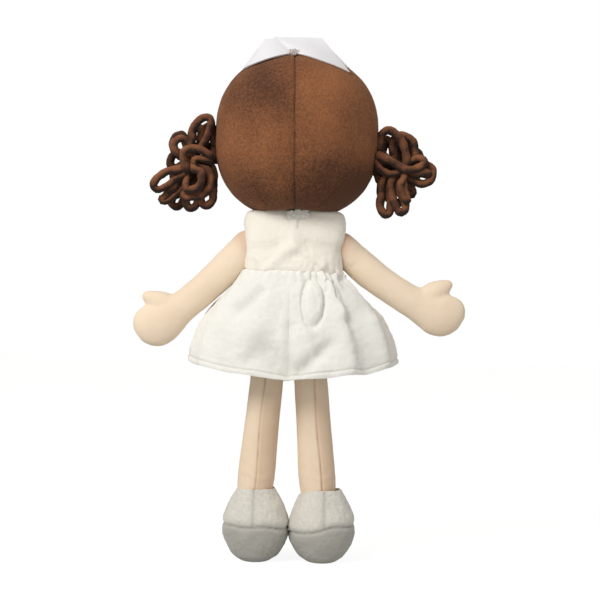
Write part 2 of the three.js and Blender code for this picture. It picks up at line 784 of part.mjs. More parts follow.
function shoeForm(inset, columns, lidLead) {
  const top = shoeRowShares.length - 1;
  const rings = shoeRowShares.map(([height, width, heel, toe], i) => {
    const place = inset + height * (shoeHeight - inset) + (i === top ? lidLead : 0);
    const across = Math.max(width * shoeHalfWidth - inset, seamGap);
    return levelRing(place, across, heel * heelLength - inset, toe * toeLength - inset, shoeSquareShare, columns);
  });
  const keel = levelRing(inset - flatCutDepth, seamGap, heelLength / 4, toeLength / 4, roundSquareShare, columns);
  return loft([keel, ...rings]);
}

function shoePieces(word) {
  const far = 3 * shoeHeight;
  const halfGap = seamGap / 2;
  const ankleHeight = shoeHeight + ankleRise;
  const cup = solidOf(cupAt(ankleRadius + seamGap, 0, 0, ankleHeight));
  const slab = (z0, z1) => solidOf(boxBetween(new THREE.Vector3(-far, -far, z0), new THREE.Vector3(far, far, z1)));
  const shell = solidOf(shoeForm(0, shoeColumns, 0))
    .subtract(solidOf(shoeForm(plushThickness, shoeColumns, cutOverrun)))
    .subtract(cup);
  const filling = solidOf(shoeForm(plushThickness + seamGap, shoeColumns / 2, -plushThickness)).subtract(cup);
  const pieces = [
    piece(`shoe_sole_${word}`, shell.intersect(slab(0, shoeSeamHeight - halfGap)), shoePlush()),
    piece(`shoe_upper_${word}`, shell.intersect(slab(shoeSeamHeight + halfGap, far)), shoePlush()),
    piece(`shoe_filling_${word}`, filling, stuffing()),
  ];
  pieces.forEach((mesh) => mesh.geometry.translate(0, 0, -ankleHeight));
  return pieces;
}

function leg(side, word) {
  const skin = solidOf(legForm(0, limbColumns, 0, 0)).subtract(
    solidOf(legForm(skinThickness, limbColumns, 0, cutOverrun)),
  );
  const filling = solidOf(legForm(skinThickness + seamGap, limbColumns, 1, 0));
  const shoeGroup = new THREE.Group();
  shoeGroup.position.z = -legLength;
  shoeGroup.rotation.y = side * legSplay;
  shoeGroup.add(...shoePieces(word));
  const legGroup = new THREE.Group();
  legGroup.position.x = side * hipSpread;
  legGroup.rotation.y = -side * legSplay;
  legGroup.add(
    piece(`leg_skin_${word}`, skin, skinCloth()),
    piece(`leg_filling_${word}`, filling, stuffing()),
    shoeGroup,
  );
  return legGroup;
}

// Seam cord across the bottom of the trunk, on which both legs fold
function seamCord() {
  const cord = new THREE.CapsuleGeometry(seamCordRadius, 2 * seamCordHalfLength, 3, 8).rotateZ(quarterTurn);
  return piece('leg_seam', solidOf(cord), skinCloth());
}

function neckPiece() {
  const steps = 5;
  const ball = Array.from({ length: steps + 1 }, (_, i) => {
    const angle = (quarterTurn * i) / steps;
    return new THREE.Vector2(neckRadius * Math.sin(angle), -neckRadius * Math.cos(angle));
  });
  ball[0].x = 0;
  const profile = [...ball, new THREE.Vector2(neckRadius, neckRise), new THREE.Vector2(0, neckRise)];
  return piece('neck', solidOf(new THREE.LatheGeometry(profile, 14).rotateX(quarterTurn)), skinCloth());
}

// Assembly: every group stands at the place about which its pieces turn
const head = new THREE.Group();
head.position.z = neckRise + headDrop - dimpleDepth - plushThickness;
head.add(
  ...headPieces(),
  ...capPieces(),
  pigtail(-1, 'left', leftBunchDrop),
  pigtail(1, 'right', rightBunchDrop),
);

const neck = new THREE.Group();
neck.position.z = trunkHeight;
neck.add(neckPiece(), head);

const seam = new THREE.Group();
seam.add(seamCord(), leg(-1, 'left'), leg(1, 'right'));

const doll = new THREE.Group();
doll.add(
  ...trunkPieces(),
  ...bodicePieces(),
  ...closurePieces(),
  skirtPiece(),
  arm(-1, 'left', leftArmDrop),
  arm(1, 'right', rightArmDrop),
  neck,
  seam,
);

// The origin lies under the middle of the whole doll, level with the soles
doll.position.z = shoeHeight + ankleRise + legLength * Math.cos(legSplay);
doll.updateMatrixWorld(true);
const bounds = new THREE.Box3().setFromObject(doll, true);
const middle = bounds.getCenter(new THREE.Vector3());
doll.position.x = -middle.x;
doll.position.y = -middle.y;

export default doll;
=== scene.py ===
from math import cos, exp, hypot, pi, radians, sin, sqrt

import bmesh
import bpy
import numpy as np
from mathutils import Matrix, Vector, noise


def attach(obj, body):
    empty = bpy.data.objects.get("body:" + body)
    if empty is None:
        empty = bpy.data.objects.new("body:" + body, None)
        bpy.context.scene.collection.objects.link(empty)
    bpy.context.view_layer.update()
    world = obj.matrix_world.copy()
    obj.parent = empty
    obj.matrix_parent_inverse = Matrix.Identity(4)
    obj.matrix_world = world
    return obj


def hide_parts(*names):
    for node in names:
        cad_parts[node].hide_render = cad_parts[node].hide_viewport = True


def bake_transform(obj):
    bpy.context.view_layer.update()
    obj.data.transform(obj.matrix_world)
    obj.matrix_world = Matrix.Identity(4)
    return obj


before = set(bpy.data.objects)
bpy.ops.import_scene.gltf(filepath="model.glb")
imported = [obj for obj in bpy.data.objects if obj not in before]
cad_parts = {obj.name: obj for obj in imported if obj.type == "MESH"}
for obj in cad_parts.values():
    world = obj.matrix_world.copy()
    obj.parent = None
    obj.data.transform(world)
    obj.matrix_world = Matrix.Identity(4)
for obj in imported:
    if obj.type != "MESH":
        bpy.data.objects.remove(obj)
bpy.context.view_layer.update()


# Camera. The doll is seen straight from behind at half its height, through a long lens,
# and leans a little to the right in the picture.
PICTURE = 600
PIXEL = 0.7
LEAN = radians(1.25)
EYE_HEIGHT = 182.0
EYE_ACROSS = 0.4
LENS = 100.0
SENSOR = 36.0
MM = 0.001


def added(name, data):
    made = bpy.data.objects.new(name, data)
    bpy.context.collection.objects.link(made)
    return made


eye_distance = PICTURE * PIXEL * LENS / SENSOR
camera = added("camera", bpy.data.cameras.new("camera"))
camera.data.lens = LENS
camera.data.sensor_width = SENSOR
camera.location = (EYE_ACROSS * MM, -eye_distance * MM, EYE_HEIGHT * MM)
camera.rotation_euler = (pi / 2, -LEAN, 0)
bpy.context.scene.camera = camera


def seen_at(across, down):
    """Place in the plane of the doll, across and up in millimetres, of a point of the picture"""
    right = (across - PICTURE / 2) * PIXEL
    up = (PICTURE / 2 - down) * PIXEL
    return (
        EYE_ACROSS + right * cos(LEAN) - up * sin(LEAN),
        EYE_HEIGHT + right * sin(LEAN) + up * cos(LEAN),
    )


# Studio. A plain white floor that runs off into a white surround, a large soft lamp up to the left
# behind the camera, and a weaker one to the right.
class Wire:
    """A socket of a material, on which sums and further nodes are written as expressions"""

    def __init__(self, tree, socket=None):
        self.tree, self.socket = tree, socket

    def node(self, kind, inputs, settings=None, stops=None, output=0):
        """A node of that type, its settings first, then the values or links of its sockets"""
        made = self.tree.nodes.new("ShaderNode" + kind)
        for name, value in (settings or {}).items():
            setattr(made, name, value)
        if stops:
            elements = made.color_ramp.elements
            while len(elements) < len(stops):
                elements.new(0.5)
            for element, (place, colour) in zip(elements, stops):
                element.position, element.color = place, (*colour, 1)
        for name, value in inputs.items():
            if isinstance(value, Wire):
                self.tree.links.new(value.socket, made.inputs[name])
            else:
                made.inputs[name].default_value = value
        return Wire(self.tree, made.outputs[output] if made.outputs else None)

    def sum_of(self, operation, first, second):
        return self.node("Math", {0: first, 1: second}, {"operation": operation})

    def __add__(self, other):
        return self.sum_of("ADD", self, other)

    def __radd__(self, other):
        return self.sum_of("ADD", other, self)

    def __mul__(self, other):
        return self.sum_of("MULTIPLY", self, other)

    def __rmul__(self, other):
        return self.sum_of("MULTIPLY", other, self)

    def fact(self, name):
        """What the points of a piece say under that name"""
        return self.node("Attribute", {}, {"attribute_name": name}, output="Fac")

    def mixed(self, low, high):
        """Colour between two others, with this wire as the share of the second"""
        low, high = ((*c[:3], 1) if isinstance(c, tuple) else c for c in (low, high))
        settings = {"data_type": "RGBA", "clamp_factor": True}
        return self.node("Mix", {0: self, 6: low, 7: high}, settings, output=2)


def bare_tree(holder):
    holder.use_nodes = True
    holder.node_tree.nodes.clear()
    return Wire(holder.node_tree)


WHITE = (1, 1, 1, 1)
AMBIENT = 0.46
FLOOR_GREY, FLOOR_SEEN = (0.62, 0.62, 0.61), (0.95, 0.95, 0.95)
FLOOR_GLOW, GLOW_SHARE = 1.13, 0.8
FLOOR_REACH = 4.0
LAMP_SIZE, LAMP_COLOUR, LAMP_AIM = 0.9, (1.0, 0.99, 0.97), (0, 0, 0.18)
KEY_POWER, SIDE_POWER = 22.8, 3.0

floor_finish = bpy.data.materials.new("floor_white")
start = bare_tree(floor_finish)
seen = start.node("LightPath", {}, output="Is Camera Ray")
paper = start.node("BsdfDiffuse", {"Color": seen.mixed(FLOOR_GREY, FLOOR_SEEN)})
glow = start.node("Emission", {"Color": WHITE, "Strength": FLOOR_GLOW})
surface = start.node("MixShader", {0: seen * GLOW_SHARE, 1: paper, 2: glow})
start.node("OutputMaterial", {"Surface": surface})

world = bpy.data.worlds.new("surround")
bpy.context.scene.world = world
start = bare_tree(world)
seen = start.node("LightPath", {}, output="Is Camera Ray")
room = start.node("Background", {"Color": (1.0, 0.98, 0.95, 1), "Strength": AMBIENT})
bright = start.node("Background", {"Color": WHITE, "Strength": 1.0})
start.node("OutputWorld", {"Surface": start.node("MixShader", {0: seen, 1: room, 2: bright})})

floor_mesh = bpy.data.meshes.new("floor")
corners = [(-1, -1), (1, -1), (1, 1), (-1, 1)]
corners = [(x * FLOOR_REACH, y * FLOOR_REACH, 0) for x, y in corners]
floor_mesh.from_pydata(corners, [], [(0, 1, 2, 3)])
floor_mesh.materials.append(floor_finish)
added("floor", floor_mesh)


def soft_lamp(name, place, power):
    lamp = added(name, bpy.data.lights.new(name, "AREA"))
    lamp.data.shape = "DISK"
    lamp.data.size, lamp.data.energy, lamp.data.color = LAMP_SIZE, power, LAMP_COLOUR
    lamp.location = place
    lamp.rotation_euler = (Vector(LAMP_AIM) - Vector(place)).to_track_quat("-Z", "Y").to_euler()


soft_lamp("key_lamp", (-0.95, -1.2, 1.35), KEY_POWER)
soft_lamp("side_lamp", (1.3, -1.2, 0.7), SIDE_POWER)


# Head. Two plush panels behind and two in front are sewn to a round hairline, and stuffed hard.
# The seams pull in, most of all the one down the middle of the back with its dimple at each stitch.
HEAD_CENTRE = np.array([-4.2, 0.0, 297.4])
HEAD_SIZE = np.array([56.7, 50.0])
HEAD_RISE, HEAD_DROP = 56.0, 57.4
CROWN_SQUARENESS, CHEEK_SQUARENESS = 2.3, 2.5
DIMPLE_DEPTH, DIMPLE_RADIUS = 9.0, 30.0
SIDE_SEAM = 6.0
HAIRLINE_HALF_WIDTH, HAIRLINE_RISE, HAIRLINE_FOOT = 47.0, 60.0, -32.0
CAP_APEX, CAP_FALL = 54.9, 0.225
NAPE_DARTS = (((-27.3, -39.2), (-20.3, -50.5)), ((33.6, -33.6), (16.1, -51.0)))
BACK_SEAM_SHIFT, BACK_SEAM_LEAN, STITCH = -1.4, -0.0203, 2.3
CAP_PRESS_MIDDLE, CAP_PRESS_REACH = -1.5, 41.0


def fact(piece, name, values):
    attribute = piece.data.attributes.new(name, "FLOAT", "POINT")
    attribute.data.foreach_set("value", np.asarray(values, np.float32))


def mesh_piece(name, points, faces, **facts):
    """Smooth piece from points in millimetres, with facts at each point that its finish reads"""
    mesh = bpy.data.meshes.new(name)
    mesh.from_pydata((np.asarray(points) * MM).tolist(), [], faces)
    mesh.polygons.foreach_set("use_smooth", [True] * len(mesh.polygons))
    work = bmesh.new()
    work.from_mesh(mesh)
    bmesh.ops.recalc_face_normals(work, faces=work.faces)
    work.to_mesh(mesh)
    work.free()
    piece = added(name, mesh)
    for each, values in facts.items():
        fact(piece, each, values)
    return piece


def full_turn(count):
    return np.linspace(0, 2 * pi, count, endpoint=False)


def grid_faces(rows, columns, around=True, along=False):
    """Quads of a grid of points, closed round its columns, or from its last row to its first"""
    faces = []
    for row in range(rows if along else rows - 1):
        for i in range(columns if around else columns - 1):
            a, b = row * columns + i, row * columns + (i + 1) % columns
            c, d = (row + 1) % rows * columns + (i + 1) % columns, (row + 1) % rows * columns + i
            faces.append((a, b, c, d))
    return faces


def capped(rows, columns):
    """The same with both ends closed"""
    last = (rows - 1) * columns
    return [*grid_faces(rows, columns), tuple(range(columns)), tuple(range(last, last + columns))]


def read(piece, what):
    values = np.empty(len(piece.data.vertices) * 3)
    piece.data.vertices.foreach_get(what, values)
    return values.reshape(-1, 3)


def points_of(piece):
    return read(piece, "co") / MM


def move_points(piece, points):
    piece.data.vertices.foreach_set("co", (points * MM).ravel())
    piece.data.update()


def swell(piece, amounts):
    """Moves every point along its normal by its own amount in millimetres"""
    move_points(piece, points_of(piece) + read(piece, "normal") * np.asarray(amounts)[:, None])


def bumps(points, size, seed=0.0):
    """Smooth random heights from -1 to 1 with swells of that size"""
    stretch = np.broadcast_to(1 / np.asarray(size, float), 3)
    offset = Vector((seed, seed, seed))
    return np.array([noise.noise(Vector(p) + offset) for p in np.asarray(points) * stretch])


def groove(distance, width):
    """Depth of a pulled seam, 1 on its line"""
    return np.exp(-np.abs(distance) / width)


def swelling(distance, width):
    """Height of a soft round ridge, 1 on its line"""
    return np.exp(-((distance / width) ** 2))


def span_distance(points, start, end):
    """Distance of points in a plane from a straight stretch"""
    start, end = np.array(start), np.array(end)
    run = end - start
    share = np.clip((points - start) @ run / (run @ run), 0, 1)
    return np.linalg.norm(points - start - share[:, None] * run, axis=1)


def ramp(values, low, high):
    """Smooth rise from 0 at the low value to 1 at the high one"""
    share = np.clip((values - low) / (high - low), 0, 1)
    return share * share * (3 - 2 * share)


def head_rings(rows, columns, outset):
    """Points of the head, with more of them at the middle of the back and of the face"""
    turns = full_turn(columns)
    turns = turns + 0.22 * np.sin(2 * turns)
    points = []
    for fall in np.linspace(0, pi, rows + 2)[1:-1]:
        squareness = CROWN_SQUARENESS if fall < pi / 2 else CHEEK_SQUARENESS
        spread = sin(fall) ** (2 / squareness)
        rise = abs(cos(fall)) ** (2 / squareness)
        height = rise * HEAD_RISE if fall < pi / 2 else -rise * HEAD_DROP
        width, depth = (HEAD_SIZE + outset) * spread
        across, forward = np.cos(turns) * width, np.sin(turns) * depth
        points.append(np.stack([across, forward, np.full(columns, height)], 1))
    points = np.concatenate(points)
    reach = np.minimum(1, np.hypot(points[:, 0], points[:, 1]) / DIMPLE_RADIUS)
    dimple = DIMPLE_DEPTH * (1 + np.cos(pi * reach)) / 2
    points[:, 2] += np.where(points[:, 2] < 0, dimple, 0) + outset * np.sign(points[:, 2])
    return points


def wing_edge(across):
    """Height at which the lower edge of the cap lies on the back of the head"""
    return CAP_APEX - CAP_FALL * np.abs(across + 4) ** 1.1


def without(rows, columns, hidden):
    """Grid faces with both ends closed, but for those whose corners are all hidden"""
    return [f for f in capped(rows, columns) if not all(hidden[i] for i in f)]


SEAM_DEPTH, PLUSH_HEIGHT = 1.3, 0.3
HEAD_GRID = (190, 320)
base = head_rings(*HEAD_GRID, PLUSH_HEIGHT)
x, y, z = base.T
oval = 1 - np.hypot(x / HAIRLINE_HALF_WIDTH, (z - HAIRLINE_FOOT) / HAIRLINE_RISE)
either = np.logaddexp(oval * HAIRLINE_HALF_WIDTH / 3, (HAIRLINE_FOOT - z) / 3) * 3
# How far inside the edge of the face panel each point lies
inside = np.minimum(y - SIDE_SEAM, either)
behind = ramp(-y, 2, 10)
line = x - BACK_SEAM_SHIFT - BACK_SEAM_LEAN * z + 0.15 * np.sin(z / 7)
stitches = 1 + 0.25 * np.cos(2 * pi * z / STITCH)
dents = SEAM_DEPTH * behind * groove(line, 0.6) * stitches * ramp(z, -58, -40)
dents += 0.7 * behind * swelling(line, 4)
dents += 1.2 * (1 - behind) * groove(x, 1.2) * np.where(inside < 2, 1, 0)
dents += 1.1 * groove(y - SIDE_SEAM, 1.3) * (1 - ramp(inside, 0, 6))
for top, foot in NAPE_DARTS:
    away = span_distance(base[:, [0, 2]], top, foot)
    dents += 0.9 * behind * groove(away, 1.0)
crease = 0.95 * behind * groove(line, 0.34) * stitches + 0.5 * groove(y - SIDE_SEAM, 0.8)
# Painted shadow: a thin dark line on the hair along the lower edge of the cap, with the dent it
# presses
pressed = behind * groove(z - wing_edge(x) + 0.5, 0.8)
pressed *= ramp(CAP_PRESS_REACH - np.abs(x - CAP_PRESS_MIDDLE), 0, 3)
crease = np.maximum(np.clip(crease, 0, 1), 0.75 * pressed)
dents += 0.9 * pressed
crease = np.where(inside < 3, crease, 0)
# Painted light on the hair: a pale patch of sheen up on the right, a darker patch up on the left,
# and painted shade towards the bottom and lower right, with small random patches of tone
pile = 0.17 * np.exp(-(((x - 20) / 24) ** 2) - ((z - 28) / 30) ** 2)
pile -= 0.19 * np.exp(-(((x + 22) / 22) ** 2) - ((z - 30) / 22) ** 2)
pile += 0.05 * ramp(-x, 0, 3) * ramp(-z, -20, 10) - 0.16 * ramp(-z, 10, 45)
pile += 0.06 * bumps(base, (13, 13, 26), 7.0) - 0.10 * ramp(x, 8, 34) * ramp(-z, 0, 40)
pile *= behind
sag = 0.5 * bumps(base, (24, 24, 34)) + 0.16 * bumps(base, 5, 3.0) + 0.10 * bumps(base, 1.9, 6.0)
edge = np.where(inside > 0, -SEAM_DEPTH - 0.9 * inside, -SEAM_DEPTH * np.exp(inside / 1.8))
hair_faces = without(*HEAD_GRID, inside > 4)
crease = np.maximum(crease, groove(inside, 1.2))
hair = mesh_piece("head_hair_panels", base + HEAD_CENTRE, hair_faces, crease=crease, pile=pile)
swell(hair, sag - dents + edge)


def finish_start(name):
    made = bpy.data.materials.new(name)
    start = bare_tree(made)
    return made, start, start.node("TexCoord", {}, output="Object")


CLOTH_ROUGHNESS = 0.92
BLUSH_AND_SHADE_COLOUR = (0.80, 0.30, 0.22)


def cloth_finish(
    name, light, dark, patches, thread, relief, sheen, seam_and_shade_colour=None, *,
    grain=0.3, nap=0.5, tint=WHITE, blush=False,
):
    """Cloth whose colour drifts in soft patches, with a thread or pile of its own size, a sheen
    from its nap, the painted light and shade of the hair and the cords added from their pile fact,
    a deeper colour along seams and as painted shade in creases, and perhaps a cheek tint rubbed in,
    which on the arms is painted warm shade at the armholes"""
    made, start, place = finish_start(name)

    def speckle(size, detail, roughness):
        sockets = {"Vector": place, "Scale": size, "Detail": detail, "Roughness": roughness}
        return start.node("TexNoise", sockets)

    drift, fibres = speckle(patches, 3.0, 0.6), speckle(thread, 4.0, 0.75)
    # The pile fact adds painted light and shade to the mottling, on the hair and the cords
    mottled = drift * (1 - grain) + fibres * grain + start.fact("pile")
    share = start.node("ValToRGB", {0: mottled}, stops=[(0.3, (0, 0, 0)), (0.7, WHITE[:3])])
    colour = share.mixed(dark, light)
    # Seams, and painted shade in folds, recesses and lower bands, pull the colour to the deeper one
    colour = (start.fact("crease") * 0.8).mixed(colour, seam_and_shade_colour or tuple(c * 0.4 for c in dark))
    # Blush on the cheeks; on the arms the same tint is painted warm shade at the armholes
    if blush:
        colour = (start.fact("blush") * 0.5).mixed(colour, BLUSH_AND_SHADE_COLOUR)
    height = fibres * 0.7 + speckle(thread / 5, 2.0, 0.6) * 0.3
    bump = start.node("Bump", {"Height": height, "Strength": relief, "Distance": 0.0006})
    sockets = {"Base Color": colour, "Roughness": CLOTH_ROUGHNESS, "Normal": bump}
    sockets |= {"Sheen Weight": sheen, "Sheen Roughness": nap, "Sheen Tint": tint}
    start.node("OutputMaterial", {"Surface": start.node("BsdfPrincipled", sockets)})
    return made


def dress_piece(piece, body, slot, finish, *nodes):
    """Finish, body and the solids that a piece stands for; the slot is not used"""
    piece.data.materials.append(finish)
    if body:
        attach(piece, body)
    if nodes:
        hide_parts(*nodes)
    return piece


light, dark = (0.315, 0.116, 0.041), (0.076, 0.024, 0.008)
nap = {"nap": 0.4, "tint": (0.75, 0.38, 0.16, 1)}
hair_plush = cloth_finish("brown_plush", light, dark, 34.0, 620.0, 1.0, 0.15, grain=0.8, **nap)
hair_nodes = ("head_back_left", "head_back_right", "fringe_left", "fringe_right", "head_filling")
dress_piece(hair, "head", "hair_plush", hair_plush, *hair_nodes)


# Face. One panel of brushed knit, sewn in along the hairline, with embroidered eyes, nose and mouth
# of the plainest kind and a little blush rubbed into the cheeks.
EYE_PLACE, EYE_SIZE = (20.0, -7.0), (4.3, 6.2)
CHEEK_PLACE, CHEEK_RADIUS = (31.0, -23.0), 9.5
MOUTH = ((-7.0, -27.0), (-3.8, -29.4), (0.0, -30.2), (3.8, -29.4), (7.0, -27.0))
GLINT_SHIFT, GLINT_SIZE, EYE_RISE = (1.3, 2.4), (0.9, 1.1), 0.9
NOSE_PLACE, NOSE_SIZE = (0.0, -18.5), (2.4, 1.7)

cheeks = np.hypot(np.abs(x) - CHEEK_PLACE[0], z - CHEEK_PLACE[1])
blush = np.where(y > 0, swelling(cheeks, CHEEK_RADIUS), 0)
edge = np.where(inside < 0, -SEAM_DEPTH + 0.9 * inside, -SEAM_DEPTH * np.exp(-inside / 1.8))
facts = {"crease": groove(inside, 0.9) * 0.7, "blush": blush}
face_faces = without(*HEAD_GRID, inside < -4)
face = mesh_piece("face_panel_knit", base + HEAD_CENTRE, face_faces, **facts)
swell(face, 0.35 * bumps(base, 26, 8.0) + edge)

# The third colour is the warm tan of the seams and of the painted shade on the legs and arms
light, dark, seam_and_shade_colour = (0.93, 0.775, 0.60), (0.86, 0.685, 0.50), (0.42, 0.185, 0.06)
skin_knit = cloth_finish("skin_knit", light, dark, 30.0, 1900.0, 0.3, 0.12, seam_and_shade_colour, blush=True)


def skin_piece(piece, body, *nodes):
    return dress_piece(piece, body, "skin_cloth", skin_knit, *nodes)


skin_piece(face, "head", "face_panel")


def face_depth(across, up):
    """How far in front of the middle of the head its surface lies"""
    crown, cheek = (HEAD_RISE, CROWN_SQUARENESS), (HEAD_DROP, CHEEK_SQUARENESS)
    limit, squareness = crown if up > 0 else cheek
    ring = (1 - (abs(up) / limit) ** squareness) ** (1 / squareness)
    return HEAD_SIZE[1] * ring * sqrt(max(0, 1 - (across / (HEAD_SIZE[0] * ring)) ** 2))


THREAD_RIDGES = 900.0


def thread_finish(name, light, dark):
    """Satin stitch: shiny thread laid side by side, so the light breaks into fine ridges, with
    painted shade and highlight across each ridge in its colour
    """
    made, start, place = finish_start(name)
    settings = {"wave_type": "BANDS", "bands_direction": "DIAGONAL"}
    waves = {"Vector": place, "Scale": THREAD_RIDGES, "Distortion": 1.5, "Detail": 2.0}
    rows = start.node("TexWave", waves, settings)
    # Painted light: the colour runs from dark to light across each ridge, as light falling on it
    # would
    colour = start.node("ValToRGB", {0: rows}, stops=[(0.2, dark), (0.8, light)])
    bump = start.node("Bump", {"Height": rows, "Strength": 0.6, "Distance": 0.0003})
    sockets = {"Base Color": colour, "Roughness": 0.42, "Normal": bump, "Sheen Weight": 0.3}
    start.node("OutputMaterial", {"Surface": start.node("BsdfPrincipled", sockets)})
    return made


OVAL_GRID, OVAL_DEPTH = (12, 40), 1.6


def stitched_oval(name, middle, size, rise, finish):
    """Raised oval of satin stitch on the face"""
    rows, columns = OVAL_GRID
    points = []
    for share in np.linspace(1, 0.04, rows):
        for turn in full_turn(columns):
            across = middle[0] + size[0] * share * cos(turn)
            up = middle[1] + size[1] * share * sin(turn)
            lift = rise * sqrt(1 - share**2) + 0.1
            points.append((across, face_depth(across, up) + lift, up))
    points = np.array(points) + HEAD_CENTRE
    points = np.concatenate([points[:columns] - (0, OVAL_DEPTH, 0), points])
    oval = mesh_piece(name, points, capped(rows + 1, columns))
    return dress_piece(oval, "head", "skin_cloth", finish)


def curve_at(p0, p1, p2, p3, t):
    """Point between the middle two of four on a smooth line through all"""
    bend = 2 * p0 - 5 * p1 + 4 * p2 - p3 + t * (3 * (p1 - p2) + p3 - p0)
    return p1 + t / 2 * (p2 - p0 + t * bend)


def catmull(points, spacing):
    """Evenly filled smooth line through the given points"""
    points = np.array(points, float)
    padded = np.concatenate([[2 * points[0] - points[1]], points, [2 * points[-1] - points[-2]]])
    filled = []
    for p0, p1, p2, p3 in zip(padded, padded[1:], padded[2:], padded[3:]):
        count = max(2, int(np.linalg.norm(p2 - p1) / spacing))
        filled += [curve_at(p0, p1, p2, p3, t) for t in np.arange(count) / count]
    return np.array([*filled, points[-1]])


def tube_grid(path, radius, sides, flatness=1.0, twist=0.0):
    """Points and faces of a round or flattened cord along a line, its ends drawn in to a point"""
    path = np.asarray(path, float)
    ahead = np.gradient(path, axis=0)
    ahead /= np.linalg.norm(ahead, axis=1)[:, None]
    across = np.cross(ahead[0], (0.31, 0.92, 0.24))
    points = []
    radii = np.broadcast_to(radius, len(path))
    for i, (place, way) in enumerate(zip(path, ahead)):
        across = across - way * (across @ way)
        across /= np.linalg.norm(across)
        other = np.cross(way, across)
        end = min(i, len(path) - 1 - i)
        full = radii[i] * sqrt(min(1, (end + 0.12) / 2))
        for angle in full_turn(sides) + twist * i:
            out = across * cos(angle) * full
            points.append(place + out + other * sin(angle) * full * flatness)
    return np.array(points), capped(len(path), sides)


def joined(parts):
    """One list of points and faces from several"""
    points, faces, count = [], [], 0
    for some, around in parts:
        points.append(some)
        faces += [tuple(i + count for i in f) for f in around]
        count += len(some)
    return np.concatenate(points), faces


dark_thread = thread_finish("dark_embroidery", (0.055, 0.03, 0.02), (0.02, 0.012, 0.01))
rose_thread = thread_finish("rose_embroidery", (0.62, 0.22, 0.18), (0.42, 0.12, 0.10))
pale_thread = thread_finish("pale_embroidery", (0.85, 0.83, 0.80), (0.65, 0.62, 0.58))
for word, side in (("left", -1), ("right", 1)):
    place = (side * EYE_PLACE[0], EYE_PLACE[1])
    stitched_oval(f"eye_{word}", place, EYE_SIZE, EYE_RISE, dark_thread)
    glint = (place[0] + GLINT_SHIFT[0], place[1] + GLINT_SHIFT[1])
    spot = stitched_oval(f"eye_glint_{word}", glint, GLINT_SIZE, 0.5, pale_thread)
    spot.location.y += EYE_RISE * MM
stitched_oval("nose", NOSE_PLACE, NOSE_SIZE, 0.8, rose_thread)
smile = [(a, face_depth(a, u) + 0.45, u) for a, u in catmull(MOUTH, 0.6)]
mouth = mesh_piece("mouth", *tube_grid(np.array(smile) + HEAD_CENTRE, 0.6, 8))
dress_piece(mouth, "head", "skin_cloth", rose_thread)


# Cap. A band of smooth felt stands up in front of the crown. Its two ends are folded flat across
# the top, the left over the right, and held to the hair by one tack where they cross.
CAP_TOP, CAP_LEFT_REACH, CAP_RIGHT_REACH = 67.8, 38.0, 35.3
CAP_TOP_LEFT, CAP_TOP_RIGHT, CAP_CROSSING = -23.9, 16.0, -16.0
CAP_FRONT_DEPTH, CAP_TOP_DEPTH, CAP_TURN = 34.0, 15.0, 0.2
FELT = 1.1


def crown_height(across, forward):
    reach = min(1.0, hypot(across / HEAD_SIZE[0], forward / HEAD_SIZE[1]))
    return HEAD_RISE * (1 - reach**CROWN_SQUARENESS) ** (1 / CROWN_SQUARENESS)


def solid_copy(piece, *modifiers):
    """The piece with modifiers applied for good"""
    for kind, settings in modifiers:
        modifier = piece.modifiers.new(kind, kind)
        for name, value in settings.items():
            setattr(modifier, name, value)
    shaped = piece.evaluated_get(bpy.context.evaluated_depsgraph_get())
    mesh = bpy.data.meshes.new_from_object(shaped)
    piece.modifiers.clear()
    piece.data = mesh
    piece.data.polygons.foreach_set("use_smooth", [True] * len(mesh.polygons))
    return piece


def thickened(piece, thickness, offset, edge, **settings):
    """A sheet given its thickness and softly rounded edges"""
    solid = {"thickness": thickness * MM, "offset": offset, **settings}
    rounded = {"width": edge * MM, "segments": 2, "limit_method": "ANGLE"}
    return solid_copy(piece, ("SOLIDIFY", solid), ("BEVEL", rounded))


FELT_GRID = (24, 60)


def felt_sheet(name, foot, top, lift):
    """Sheet of felt ruled from a line on the hair to a line along its top, a little wavy"""
    points = []
    for row in np.linspace(0, 1, FELT_GRID[0]):
        for share in np.linspace(0, 1, FELT_GRID[1]):
            low, high = np.array(foot(share)), np.array(top(share))
            bow = sin(pi * share) * sin(pi * min(1, row + 0.15))
            points.append(low * (1 - row) + high * row + (0, lift * bow, 0))
    points = np.array(points)
    points[:, 1] += 0.35 * bumps(points, 13, 5.0)
    points[:, 2] += 0.3 * bumps(points, 17, 9.0)
    piece = mesh_piece(name, points + HEAD_CENTRE, grid_faces(*FELT_GRID, around=False))
    return thickened(piece, FELT, 0.0, 0.35)


def lerp(low, high, share):
    return low + (high - low) * share


def wing_foot(first, last, lift):
    """Lower edge of a wing, which lies on the back of the crown from its middle down to the side"""

    def foot(share):
        across = lerp(first, last, share)
        up = wing_edge(across)
        return (across, -face_depth(across, min(up, crown_height(across, 0) - 0.05)) - lift, up)

    return foot


def band_place(share, left, right, forward, depth):
    """Place across and forward on a line that runs round the front from left to right"""
    turn = lerp(-CAP_TURN, pi + CAP_TURN, share)
    return (left + right) / 2 - cos(turn) * (right - left) / 2, forward + sin(turn) * depth


def front_foot(share):
    place = band_place(share, -CAP_LEFT_REACH, CAP_RIGHT_REACH, -4.0, CAP_FRONT_DEPTH)
    return (*place, crown_height(*place) + 0.2)


def front_top(share):
    return (*band_place(share, CAP_TOP_LEFT, CAP_TOP_RIGHT, 2.4, CAP_TOP_DEPTH), CAP_TOP - 1.4)


light, dark, seam_and_shade_colour = (0.83, 0.82, 0.85), (0.78, 0.77, 0.80), (0.62, 0.61, 0.64)
cap_felt = cloth_finish("white_felt", light, dark, 60.0, 2600.0, 0.16, 0.1, seam_and_shade_colour)


def left_top(share):
    return (lerp(CAP_TOP_LEFT, CAP_CROSSING, share), -1.8, CAP_TOP - 2.0 + share)


